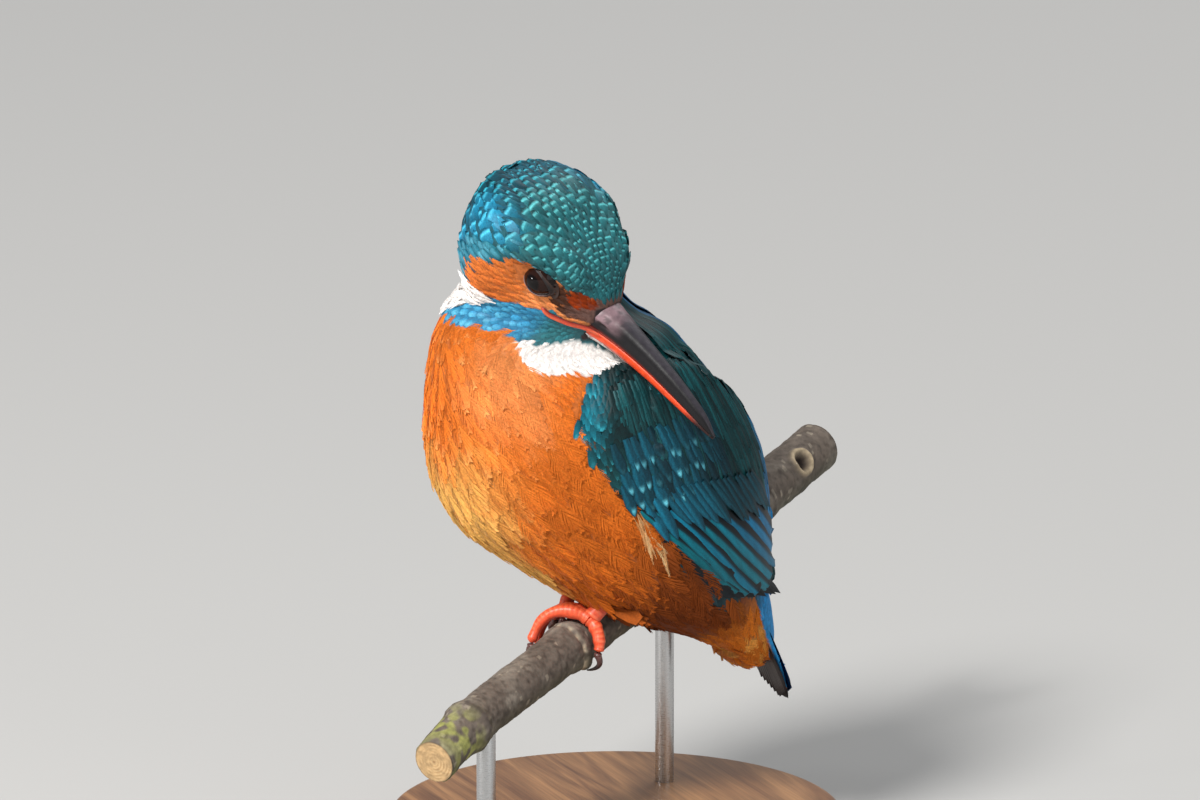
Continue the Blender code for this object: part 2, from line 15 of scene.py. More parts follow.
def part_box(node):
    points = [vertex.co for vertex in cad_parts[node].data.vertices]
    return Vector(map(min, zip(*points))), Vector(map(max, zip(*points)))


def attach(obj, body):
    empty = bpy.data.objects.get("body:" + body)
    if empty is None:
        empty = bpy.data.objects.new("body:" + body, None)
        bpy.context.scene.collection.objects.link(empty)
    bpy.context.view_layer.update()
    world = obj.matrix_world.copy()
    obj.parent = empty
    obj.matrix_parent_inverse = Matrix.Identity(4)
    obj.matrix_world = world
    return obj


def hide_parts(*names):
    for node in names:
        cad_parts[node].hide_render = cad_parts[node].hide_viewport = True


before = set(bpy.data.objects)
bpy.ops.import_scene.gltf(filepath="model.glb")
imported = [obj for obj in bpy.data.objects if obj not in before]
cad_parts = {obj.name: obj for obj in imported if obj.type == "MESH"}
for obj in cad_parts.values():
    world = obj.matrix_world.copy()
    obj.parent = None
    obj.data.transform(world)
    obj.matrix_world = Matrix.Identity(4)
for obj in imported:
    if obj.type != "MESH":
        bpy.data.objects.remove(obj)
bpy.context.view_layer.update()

MM = 0.001
GRIP = np.array((0.0, -6.0, 50.0))  # from the middle of the base's underside
FLESH = ("head", "neck", "trunk", "tail", "wing_left", "wing_right")

# The head: its middle in bird coordinates and how it is turned
HEAD_CENTRE = np.array((5.6, -12.0, 85.5))
HEAD_TURN, HEAD_PITCH, HEAD_ROLL = (math.radians(a) for a in (124.0, -36.0, 10.0))
EYE_CENTRE = np.array((6.6, 9.9, 1.4))
BILL_ROOT = np.array((22.0, 0.0, -2.5))
TAIL_ROOT, TAIL_TIP = np.array((0.0, 30.0, 11.5)), np.array((0.0, 43.8, -18.5))
BILL_SECTIONS = (  # places forward, half widths, and heights over and under the gape's line
    (12.5, 6.4, 5.0, 4.2),
    (19.0, 4.4, 5.2, 3.9),
    (26.0, 3.1, 4.5, 3.2),
    (34.0, 2.3, 3.7, 2.6),
    (42.0, 1.8, 3.0, 2.1),
    (50.0, 1.2, 1.9, 1.4),
    (54.4, 0.35, 0.5, 0.35),
)
BILL_START, BILL_RUN = 12.5, 42.0
GAPE_HEIGHT, GAPE_ARCH = -4.7, 1.6

# The branch and the feet, as steps along its axis and angles round it
PERCH_BEARING, PERCH_RISE = math.radians(36.0), math.radians(11.2)
PERCH_START, PERCH_END, PERCH_RADIUS = -62.0, 94.0, 5.1
KNEE = (9.0, 8.0, 17.0)
TARSUS_RADIUS, TOE_RADIUS, CLAW_LENGTH, CLAW_ARCH = 1.7, 1.45, 4.6, 1.1
TOES = ("1_hind", "2_inner", "3_middle", "4_outer")
FEET = (  # name, side, the sole's place, how far the toes arch up, and where each toe ends
    ("left", 1, (-6.0, -37.0), 0.5, (-8.5, -92.0), (-4.0, 56.0), (-9.0, 96.0), (-13.0, 74.0)),
    ("right", -1, (5.5, 6.0), 1.8, (9.0, -62.0), (-0.5, 70.0), (4.5, 104.0), (10.0, 86.0)),
)


def unit(v):
    """Rows of numbers scaled to a length of 1."""
    v = np.asarray(v, float)
    return v / np.maximum(np.linalg.norm(v, axis=-1, keepdims=True), 1e-9)


def head_axes():
    """The head's forward, right and up ways in bird coordinates."""
    level = math.cos(HEAD_PITCH)
    forward = np.array((math.sin(HEAD_TURN) * level, -math.cos(HEAD_TURN) * level, math.sin(HEAD_PITCH)))
    right = unit(np.cross(forward, (0, 0, 1)))
    up = np.cross(right, forward)
    c, s = math.cos(HEAD_ROLL), math.sin(HEAD_ROLL)
    return np.array((forward, right * c - up * s, up * c + right * s))


HEAD_AXES = head_axes()


def to_head(points):
    return (np.asarray(points) - HEAD_CENTRE) @ HEAD_AXES.T


def from_head(points):
    return np.asarray(points) @ HEAD_AXES + HEAD_CENTRE


def linear(red, green, blue):
    """A colour of 0 to 255 steps as linear light."""
    c = np.array((red, green, blue)) / 255.0
    return np.where(c <= 0.04045, c / 12.92, ((c + 0.055) / 1.055) ** 2.4)


def smooth(x, low, high):
    """A soft step from 0 at low to 1 at high; the other way round where low is the higher."""
    t = np.clip((x - low) / (high - low), 0, 1)
    return t * t * (3 - 2 * t)


def blend(a, b, share):
    """A colour, or one for each share, between a and b."""
    return a + (b - a) * np.asarray(share)[..., None]


def spline(rows, t):
    """A Catmull-Rom curve through rows of numbers, evenly spaced in t from 0 to 1."""
    rows = np.asarray(rows, float)
    s = np.clip(np.asarray(t, float), 0, 1) * (len(rows) - 1)
    i = np.minimum(s.astype(int), len(rows) - 2)
    f = (s - i)[..., None]
    last = len(rows) - 1
    a, b, c, d = (rows[np.clip(i + k, 0, last)] for k in (-1, 0, 1, 2))
    a = np.where((i == 0)[..., None], 2 * b - c, a)
    d = np.where((i == last - 1)[..., None], 2 * c - b, d)
    return b + 0.5 * f * (c - a + f * (2 * a - 5 * b + 4 * c - d + f * (3 * (b - c) + d - a)))


def lattice(keys, seed):
    """A repeatable random number from 0 to 1 for each row of whole numbers."""
    h = np.full(keys.shape[:-1], np.uint64(seed * 7919 + 13), np.uint64)
    for k in range(keys.shape[-1]):
        h ^= keys[..., k].astype(np.int64).astype(np.uint64) * np.uint64(0x9E3779B97F4A7C15)
        h = (h ^ (h >> np.uint64(29))) * np.uint64(0xBF58476D1CE4E5B9)
    return ((h >> np.uint64(33)) & np.uint64(0xFFFFFF)).astype(float) / 0xFFFFFF


def noise(points, scale, seed=0):
    """Smooth value noise from -1 to 1 over points, with cells of the given size."""
    q = np.asarray(points, float) / scale
    base = np.floor(q)
    f = q - base
    f = f * f * (3 - 2 * f)
    total = 0.0
    for corner in np.ndindex(*(2,) * q.shape[-1]):
        weight = np.prod(np.where(np.array(corner) == 1, f, 1 - f), axis=-1)
        total = total + weight * lattice(base + corner, seed)
    return total * 2 - 1


# ---------------------------------------------------------------- materials
def shader(name, **sockets):
    made = bpy.data.materials.new(name)
    made.use_nodes = True
    bsdf = made.node_tree.nodes["Principled BSDF"]
    for key, value in sockets.items():
        bsdf.inputs[key.replace("_", " ")].default_value = value
    return made, made.node_tree, bsdf


def node(tree, kind, inputs=(), **settings):
    made = tree.nodes.new(kind)
    for key, value in settings.items():
        setattr(made, key, value)
    for key, value in dict(inputs).items():
        if isinstance(value, bpy.types.NodeSocket):
            tree.links.new(value, made.inputs[key])
        else:
            made.inputs[key].default_value = value
    return made


def ranged(tree, value, start, end, low, high):
    """A value between start and end, spread from low to high."""
    limits = {"From Min": start, "From Max": end, "To Min": low, "To Max": high}
    return node(tree, "ShaderNodeMapRange", {"Value": value, **limits}).outputs["Result"]


def coloured(tree, bsdf, colour, share):
    """Gives the surface a colour times a share."""
    mixed = node(tree, "ShaderNodeVectorMath", operation="SCALE")
    tree.links.new(colour, mixed.inputs[0])
    tree.links.new(share, mixed.inputs["Scale"])
    tree.links.new(mixed.outputs["Vector"], bsdf.inputs["Base Color"])


def relieved(tree, bsdf, height, strength, distance):
    """Gives the surface a fine relief."""
    relief = node(tree, "ShaderNodeBump", {"Height": height, "Strength": strength, "Distance": distance})
    tree.links.new(relief.outputs["Normal"], bsdf.inputs["Normal"])


def tinted(name, grain=2500.0, mottle=0.25, bump=0.15, distance=0.00005, **sockets):
    """A surface coloured by its Tint attribute, with a fine noise over it."""
    made, tree, bsdf = shader(name, **sockets)
    tint = node(tree, "ShaderNodeAttribute", attribute_name="Tint")
    place = node(tree, "ShaderNodeTexCoord").outputs["Object"]
    fine = node(tree, "ShaderNodeTexNoise", {"Vector": place, "Scale": grain, "Detail": 3.0}).outputs["Fac"]
    coloured(tree, bsdf, tint.outputs["Color"], ranged(tree, fine, 0.3, 0.7, 1 - mottle, 1 + mottle))
    relieved(tree, bsdf, fine, bump, distance)
    return made


def make_materials():
    soft = {"Roughness": 0.75, "Specular_IOR_Level": 0.15, "Sheen_Weight": 0.06, "Sheen_Roughness": 0.4}
    deep = {"Subsurface_Weight": 0.15, "Subsurface_Radius": (0.002, 0.0008, 0.0005), "Subsurface_Scale": 1.0}
    return {
        "skin": tinted("coat skin", 1200, 0.3, 0.3, Roughness=0.85),
        "soft": tinted("soft feathers", 2600, 0.22, 0.1, **soft),
        "firm": tinted("firm feathers", 3200, 0.22, 0.15, Roughness=0.5, Specular_IOR_Level=0.22),
        "flight": tinted("flight feathers", 3600, 0.18, 0.2, Roughness=0.45, Specular_IOR_Level=0.2),
        "bill": tinted("bill horn", 900, 0.2, 0.35, 0.0001, Roughness=0.38, Specular_IOR_Level=0.32),
        "foot": tinted("foot skin", 1500, 0.12, 0.3, 0.00008, Roughness=0.4, **deep),
        "claw": tinted("claw horn", 1500, 0.25, 0.2, Roughness=0.3),
        "lid": tinted("eyelid", 1800, 0.2, 0.4, Roughness=0.5),
        "eye": tinted("eye", 900, 0.1, 0.0, Roughness=0.04, Specular_IOR_Level=0.22),
        "bark": tinted("bark", 700, 0.28, 0.6, 0.0003, Roughness=0.82),
    }


# ---------------------------------------------------------------- meshes
def build_mesh(name, points, faces, colours, material, slot, hides=(), uv=None):
    """A piece from bird-coordinate points and rows of corners, with its Tint and its bake map."""
    mesh = bpy.data.meshes.new(name)
    mesh.vertices.add(len(points))
    mesh.vertices.foreach_set("co", ((points + GRIP) * MM).astype(np.float32).ravel())
    faces = np.asarray(faces, np.int32)
    mesh.loops.add(faces.size)
    mesh.loops.foreach_set("vertex_index", faces.ravel())
    mesh.polygons.add(len(faces))
    mesh.polygons.foreach_set("loop_start", np.arange(len(faces), dtype=np.int32) * faces.shape[1])
    mesh.polygons.foreach_set("use_smooth", np.ones(len(faces), bool))
    mesh.update(calc_edges=True)
    if colours is not None:
        tint = mesh.color_attributes.new("Tint", "FLOAT_COLOR", "POINT")
        rgba = np.ones((len(points), 4), np.float32)
        rgba[:, :3] = np.clip(colours, 0, 1)
        tint.data.foreach_set("color", rgba.ravel())
    if uv is not None:
        layer = mesh.uv_layers.new(name="OFBake")
        layer.data.foreach_set("uv", uv[faces.ravel()].astype(np.float32).ravel())
    mesh.validate()
    mesh.materials.append(material)
    piece = bpy.data.objects.new(name, mesh)
    bpy.context.scene.collection.objects.link(piece)
    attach(piece, "root")
    if hides:
        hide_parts(*hides)
    return piece


def loft_faces(rings, sides, closed=True):
    """Quads between rings of points, in rows; closed joins each ring's ends."""
    i, j = np.meshgrid(np.arange(rings - 1), np.arange(sides if closed else sides - 1), indexing="ij")
    k = (j + 1) % sides
    near, far = i * sides, (i + 1) * sides
    return np.stack([near + j, near + k, far + k, far + j], -1).reshape(-1, 4)


def capped(points, rings, sides):
    """Adds an end point to both ends of a loft, so that its caps are quads with a shared corner."""
    faces = [loft_faces(rings, sides)]
    middle = [points[:sides].mean(0), points[-sides:].mean(0)]
    for end, (first, hub) in enumerate(((0, len(points)), ((rings - 1) * sides, len(points) + 1))):
        j = np.arange(0, sides, 2)
        a, b, c = first + j, first + (j + 1) % sides, first + (j + 2) % sides
        fan = np.stack([np.full(len(j), hub), c, b, a], -1)
        faces.append(fan if end == 0 else fan[:, ::-1])
    return np.concatenate([points, middle]), np.concatenate(faces)


def mesh_arrays(mesh):
    """A mesh's points and triangles, with its metres turned into bird coordinates."""
    points = np.empty(len(mesh.vertices) * 3)
    mesh.vertices.foreach_get("co", points)
    mesh.calc_loop_triangles()
    corners = np.empty(len(mesh.loop_triangles) * 3, np.int32)
    mesh.loop_triangles.foreach_get("vertices", corners)
    return points.reshape(-1, 3) / MM - GRIP, corners.reshape(-1, 3)


def node_arrays(name):
    """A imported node's points in bird coordinates and its triangles."""
    return mesh_arrays(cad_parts[name].data)


def tree_of(points, faces):
    return BVHTree.FromPolygons([Vector(p) for p in points], [tuple(int(i) for i in f) for f in faces])


# ---------------------------------------------------------------- skin
def face_normals(points, faces):
    """Each face's normal, twice as long as its area."""
    a, b, c = (points[faces[:, k]] for k in range(3))
    return np.cross(b - a, c - a)


def vertex_normals(points, faces):
    normal = face_normals(points, faces)
    total = np.zeros_like(points)
    for k in range(3):
        np.add.at(total, faces[:, k], normal)
    return unit(total)


def coat_depth(points):
    """How far the skin lies inside the solids: deep on the breast, thin at the wings, face and tail."""
    depth = np.full(len(points), 1.1)
    head = to_head(points)
    near = 1 - smooth(np.linalg.norm(head, axis=1), 17, 24)
    depth = depth + (0.75 - depth) * near
    depth = depth + 2.6 * smooth(head[:, 2], 8, 14) * near
    brow = smooth(head[:, 2], 3.5, 6) * smooth(head[:, 2], 13, 9) * smooth(np.abs(head[:, 1]), 4, 8)
    depth = depth - 1.5 * brow * smooth(head[:, 0], -2, 4) * near
    depth = np.where(points[:, 2] > 8, depth, 1.5)
    flank = np.abs(points[:, 0]) > 8
    behind = points[:, 1] > 4
    depth = np.where(flank & behind & (points[:, 2] < 62), 0.5, depth)
    tail = points[:, 1] - 0.6 * points[:, 2] > 34
    return np.where(tail, 0.25, depth)


GROWN = {"flesh": 0.35, "wing": 0.2, "bare": -0.5}  # so that the solids run together in the remesh
VOXEL = 0.72


def make_skin_shape():
    """The flesh nodes grown into one closed surface, smoothed and drawn in by the coat's depth."""
    grown, corners, start = [], [], 0
    for name in (*FLESH, "eye_left", "eye_right", "bill_upper", "bill_lower"):
        points, faces = node_arrays(name)
        away = vertex_normals(points, faces)
        grow = GROWN["wing"] if name.startswith("wing") else GROWN["flesh" if name in FLESH else "bare"]
        grown.append(points + away * grow)
        corners.append(faces + start)
        start += len(points)
    mesh = bpy.data.meshes.new("skin_shape")
    mesh.from_pydata((np.concatenate(grown) * MM).tolist(), [], np.concatenate(corners).tolist())
    obj = bpy.data.objects.new("skin_shape", mesh)
    bpy.context.scene.collection.objects.link(obj)
    remesh = obj.modifiers.new("remesh", "REMESH")
    remesh.mode = "VOXEL"
    remesh.voxel_size = VOXEL * MM
    relax = obj.modifiers.new("relax", "SMOOTH")
    relax.factor = 0.5
    relax.iterations = 6
    bpy.context.view_layer.update()
    shape = obj.evaluated_get(bpy.context.evaluated_depsgraph_get()).to_mesh()
    points, faces = mesh_arrays(shape)
    points = points + GRIP  # the shape was made in bird coordinates, so it isn't shifted
    bpy.data.objects.remove(obj)
    normals = vertex_normals(points, faces)
    points = points - normals * (coat_depth(points) + 0.2)[:, None]
    return points, faces, vertex_normals(points, faces)


def unwrapped(points, faces):
    """An unwrap of the skin's own shape, as one place per corner."""
    mesh = bpy.data.meshes.new("unwrap")
    mesh.from_pydata(points.tolist(), [], faces.tolist())
    obj = bpy.data.objects.new("unwrap", mesh)
    bpy.context.scene.collection.objects.link(obj)
    bpy.context.view_layer.objects.active = obj
    obj.select_set(True)
    bpy.ops.object.mode_set(mode="EDIT")
    bpy.ops.mesh.select_all(action="SELECT")
    bpy.ops.uv.smart_project(angle_limit=math.radians(66), island_margin=0.004)
    bpy.ops.object.mode_set(mode="OBJECT")
    uv = np.empty(len(mesh.loops) * 2)
    mesh.uv_layers.active.data.foreach_get("uv", uv)
    bpy.data.objects.remove(obj)
    return uv.reshape(-1, 3, 2)


# ---------------------------------------------------------------- markings
CROWN_DARK = linear(34, 100, 106)
CROWN_BAR = linear(104, 208, 212)
NAPE = linear(8, 92, 112)
NAPE_BAR = linear(40, 172, 196)
SIDE_BAR = linear(84, 206, 240)
AZURE = linear(36, 160, 205)
EAR = linear(222, 122, 54)
EAR_PALE = linear(236, 150, 88)
LORE = linear(150, 54, 10)
FACE_DARK = linear(74, 44, 30)
FACE_PINK = linear(122, 88, 78)
WHITE = linear(250, 244, 240)
MALAR = linear(44, 128, 170)
MALAR_DARK = linear(44, 108, 116)
MALAR_BAR = linear(104, 190, 216)
BREAST = linear(216, 112, 34)
BREAST_SHADED = linear(194, 96, 24)
BREAST_LIT = linear(246, 166, 104)
BREAST_HIGHLIGHT = linear(255, 196, 120)
BELLY = linear(232, 182, 96)
FLANK_SHADE = linear(104, 46, 10)
SCAPULAR = linear(9, 62, 66)
SHOULDER = linear(14, 110, 128)
SHOULDER_DOT = linear(64, 186, 205)
COVERT = linear(8, 74, 90)
COVERT_BRIGHT = linear(14, 112, 142)
DOT = linear(112, 214, 234)
VANE = linear(0, 114, 146)
VANE_DARK = linear(8, 18, 24)
BACK = linear(30, 146, 214)
TAIL_BLUE = linear(22, 74, 140)
TAIL_GREY = linear(30, 32, 36)
TEAL_DARK = linear(14, 52, 60)
VENT = linear(204, 112, 30)
VENT_PALE = linear(222, 160, 74)

# Lines across the head, as places forward and heights; the last one as heights and places forward
CROWN_LINE = (
    (-12, -8.9, -8.2, -6, -3, 0.5, 2, 4, 8, 12, 16, 20, 24),
    (-17, -13, -7.3, -2, 1.6, 4, 5, 5.5, 4.9, 4.3, 3.9, 2.6, 2),
)
BAND_LINE = ((-3, -1, 0, 4, 7, 8.5, 10.3, 13, 20), (-11, -9.3, -9, -7.6, -6, -4.8, -3.7, -3.6, -3.6))
MALAR_LINE = (
    (-8.5, -5.5, -2.5, 2, 6.5, 9, 12.5, 15.5, 17, 19),
    (-26.5, -22.5, -19.5, -16, -13.4, -13.4, -12.4, -11.4, -10, -8.5),
)
THROAT_LINE = (
    (10.5, 12, 14, 18, 21, 23, 25, 27.5, 29),
    (-13.5, -14, -14.8, -15.2, -14, -12.4, -10.8, -9.4, -8.4),
)
WHITE_EDGE = ((-23, -20, -17, -14, -10, -9.3, -9.0, -8.4), (-8.6, -6.2, -4.5, -3.0, -1.2, -1.5, -6.0, -16))


def head_marks(points):
    """Which marking each point of the head belongs to, by name."""
    f, r, u = to_head(points).T
    nape = 14 * smooth(np.abs(r), 8.5, 5.5) * smooth(f, -6, -9)
    crown = u > np.interp(f, *CROWN_LINE) - nape
    above_band = u > np.interp(f, *BAND_LINE)
    above_malar = u > np.interp(f, *MALAR_LINE)
    white = ~crown & (f < np.interp(u, *WHITE_EDGE)) & above_malar & (f > -14)
    malar = ~crown & ~above_band & above_malar & ~white
    lore = ~crown & (((f - 15.9) / 2.9) ** 2 + ((u - 2.3 + 0.22 * (f - 15.9)) / 1.5) ** 2 < 1)
    dark = ~crown & above_band & (f > 10.6) & ~lore & (u > np.interp(f, (10.6, 12.5), (0.8, -2.6)))
    ear = ~crown & above_band & ~white & ~lore & ~dark
    throat_edge = np.interp(f, *THROAT_LINE) - 0.25 * (11 - np.minimum(np.abs(r), 11))
    throat = ~crown & ~above_malar & (f > 10.5) & (u > throat_edge)
    names = ("crown", "white", "malar", "lore", "dark", "ear", "throat")
    return dict(zip(names, (crown, white, malar, lore, dark, ear, throat)))


def head_weight(points):
    """1 on the head and 0 below it, reaching lower under the chin and at the side of the neck."""
    f, r, u = to_head(points).T
    ball = 1 - smooth(np.sqrt(f**2 + r**2 + (0.9 * u) ** 2), 20.5, 22.5)
    chin = smooth(f, 7, 9) * smooth(f, 28, 26) * smooth(u, -17.5, -16)
    chin = chin * smooth(r, 15, 13.5) * smooth(r, -9, -7)
    cheek = smooth(u, -27, -25.5) * smooth(f, -12.5, -11)
    cheek = cheek * smooth(np.hypot(f, r), 22, 20.5) * smooth(r, -2, 0)
    cheek = cheek * smooth(u - 0.9 * f, -19.5, -18)
    return np.maximum(ball, np.maximum(chin, cheek))


def bearing(points):
    """Degrees round the body from the breast's middle, the same for both sides."""
    return np.degrees(np.abs(np.arctan2(points[:, 0], -points[:, 1])))


WING_EDGE = (  # where the wing's front edge lies, as heights and bearings
    (6, 13, 16.5, 22.5, 28, 31.5, 36, 41, 46, 52, 60, 66),
    (160, 140, 125, 108, 97, 88, 82, 77, 70, 62, 66, 72),
)


def below_wing(points):
    """Where the wing's lower side is covered by the flank's feathers."""
    return points[:, 2] < 28.0 - (bearing(points) - 98.7) * 0.375


def body_colour(points, side):
    """Colours below the head, with painted light and shade on the breast and flanks; side is the wing's
    marking where it is True.
    """
    z = points[:, 2] + 4 * noise(points, 6.0, 52)
    b = bearing(points) + 9 * noise(points, 7.0, 51)
    # painted shade: a deeper orange towards the sides and lower down, where the body turns from the light
    base = blend(BREAST, BREAST_SHADED, 0.75 * smooth(b, 35, 80) * smooth(z, 58, 30))
    base = blend(base, BELLY, 0.85 * smooth(b, 52, 18) * smooth(z, 46, 28))
    # painted light: a paler band over the upper breast, where the light falls on it
    pale = 0.45 * smooth(b, 66, 40) * smooth(z, 40, 56) * smooth(b, 12, 30)
    base = blend(base, BREAST_LIT, pale)
    # painted shade: dark brown low on the flanks, under the folded wing
    base = blend(base, FLANK_SHADE, 0.85 * smooth(b, 82, 118) * smooth(z, 34, 18))
    z, b = points[:, 2], bearing(points)
    vent = smooth(points[:, 1] - z, 20, 30)
    base = blend(base, VENT, vent)
    base = blend(base, VENT_PALE, 0.7 * vent * smooth(noise(points, 3.0, 2), 0.0, 0.5))
    above_tail = (points[:, 1] - 30.0) * 0.909 + (z - 11.5) * 0.418  # how far over the tail's middle
    flank_patch = (b > 137) & (b < 151) & (z > 5) & (z < 13) & (points[:, 1] > 16)
    base = np.where(flank_patch[:, None], TEAL_DARK, base)
    back = np.where(z > 16, b > 118, above_tail > 0.2)
    back = back | ((points[:, 1] > -4) & (z > 60)) | ((z > 56) & (b > 72))
    base = np.where(back[:, None], blend(SCAPULAR, BACK, smooth(b, 158, 168)), base)
    tail_end = (points - TAIL_ROOT) @ unit(TAIL_TIP - TAIL_ROOT) > 30
    base = np.where(tail_end[:, None], TAIL_GREY, base)
    return np.where((side & ~below_wing(points))[:, None], SCAPULAR, base)


def head_colour(points):
    """Colours by the head's markings, or the body's where there is none."""
    marks = head_marks(points)
    f = to_head(points)[:, 0]
    colour = body_colour(points, np.zeros(len(points), bool))
    for name, shade in (
        ("crown", blend(CROWN_DARK, NAPE, smooth(f, 2, -9))),
        ("white", WHITE),
        ("lore", LORE),
        ("dark", blend(FACE_DARK, FACE_PINK, smooth(f, 13, 16.5))),
        ("throat", WHITE),
        ("malar", blend(MALAR, MALAR_DARK, smooth(f, 8.5, 14))),
        ("ear", blend(EAR, EAR_PALE, smooth(f, 3, 9))),
    ):
        colour = np.where(marks[name][:, None], shade, colour)
    return colour


def skin_colour(points, wing):
    head = head_weight(points) > 0.5
    return np.where(head[:, None], head_colour(points), body_colour(points, wing & ~head))


# ---------------------------------------------------------------- the lie of the coat
def flat(ways, normals):
    """Ways laid level with a surface."""
    return unit(ways - normals * np.sum(ways * normals, 1, keepdims=True))


def lie(points, normals, wing):
    """The way the feathers point: away from the bill over the head, and down and back over the body."""
    from_bill = unit(points - from_head(BILL_ROOT))
    to_tail = unit(np.array((0.0, 62.0, -48.0)) - points * (0.3, 1, 1))
    level = np.zeros(len(points))
    over_wing = unit(np.stack([level, 0.012 * (60 - points[:, 2]) * 60, level - 50], 1))
    to_tail = np.where(wing[:, None], over_wing, to_tail)
    share = smooth(np.linalg.norm(to_head(points), axis=1), 18, 27)
    return flat(blend(from_bill, to_tail, share), normals)


# ---------------------------------------------------------------- feathers
def outline(t):
    """A contour feather's half width along its length, as a share of the widest."""
    return np.clip(np.sin(np.pi * np.clip(t, 0, 1) ** 0.72) ** 0.55, 0.03, 1)


def feather(barbs, spread=0.2, solid=0.8, seed=1):
    """A feather of unit size: a cambered vane with barbs over it that part at the edge.

    Gives points as across, along and lift, and the quads.
    """
    rng = np.random.default_rng(seed)
    rows = np.array((0.0, 0.22, 0.45, 0.68, 0.88))
    half = outline(rows * 0.97 + 0.01) * solid
    points = [(x * w, t, -0.09 * abs(x)) for t, w in zip(rows, half) for x in (-1, 0, 1)]
    quads = [(k, k + 1, k + 4, k + 3) for i in range(4) for k in (i * 3, i * 3 + 1)]
    for i in range(barbs):
        for side in (-1, 1):
            start = 0.2 + 0.74 * i / (barbs - 1) + rng.uniform(-0.02, 0.02)
            end = min(1.0, start + spread * (1.1 - 0.5 * start) + rng.uniform(-0.03, 0.05))
            reach = outline(end) * rng.uniform(0.86, 1.1) if end < 0.97 else rng.uniform(0.05, 0.3)
            thick = 0.62 / barbs
            base = len(points)
            for s, w in ((0.0, 0.8), (0.55, 1.0), (1.0, 0.3)):
                x = side * reach * s
                y = start + (end - start) * s**1.25
                lift = 0.03 - 0.1 * s * s * abs(reach) + rng.uniform(-0.015, 0.03) * s
                points += [(x, y - thick * w / 2, lift), (x, y + thick * w / 2, lift + 0.012)]
            for k in (0, 2):
                a = base + k
                quads.append((a, a + 1, a + 3, a + 2) if side < 0 else (a, a + 2, a + 3, a + 1))
    return np.array(points), np.array(quads)


def vane(columns, rows, fray, seed):
    """A closed feather of unit size: a cambered grid with a blunt and slightly frayed tip."""
    rng = np.random.default_rng(seed)
    t = np.array(rows)
    x = np.linspace(-1, 1, columns)
    half = smooth(t, -0.35, 0.35) * np.sqrt(np.clip(1 - np.clip((t - 0.5) / 0.5, 0, 1) ** 4.0, 0.02, 1))
    frayed = rng.uniform(-fray, fray, (len(t), columns)) * smooth(t, 0.6, 0.95)[:, None]
    y = t[:, None] - 0.05 * x[None] ** 2 + frayed
    camber = -0.10 * np.abs(x[None]) ** 1.5 * half[:, None] + 0.03 * np.exp(-((x[None] / 0.2) ** 2))
    lift = camber + rng.uniform(-0.008, 0.008, y.shape)
    return np.stack([x[None] * half[:, None], y, lift], -1).reshape(-1, 3), loft_faces(len(t), columns, False)


CROWN_ROWS = (0.0, 0.35, 0.55, 0.64, 0.71, 0.77, 0.83, 0.89, 0.94, 1.0)
FIRM_ROWS = (0.0, 0.3, 0.5, 0.64, 0.75, 0.84, 0.92, 1.0)
TEMPLATES = {
    "soft": [feather(9, 0.42, 0.85, s) for s in (1, 2, 3, 4)],
    "small": [feather(6, 0.34, 0.85, s) for s in (5, 6, 7)],
    "firm": [vane(7, FIRM_ROWS, 0.035, s) for s in (8, 9, 10)],
    "crown": [vane(7, CROWN_ROWS, 0.045, s) for s in (14, 15, 16, 17)],
    "hair": [feather(8, 0.42, 0.25, s) for s in (11, 12, 13)],
}
PATCH = 0.003  # a tuft's size on the bake map


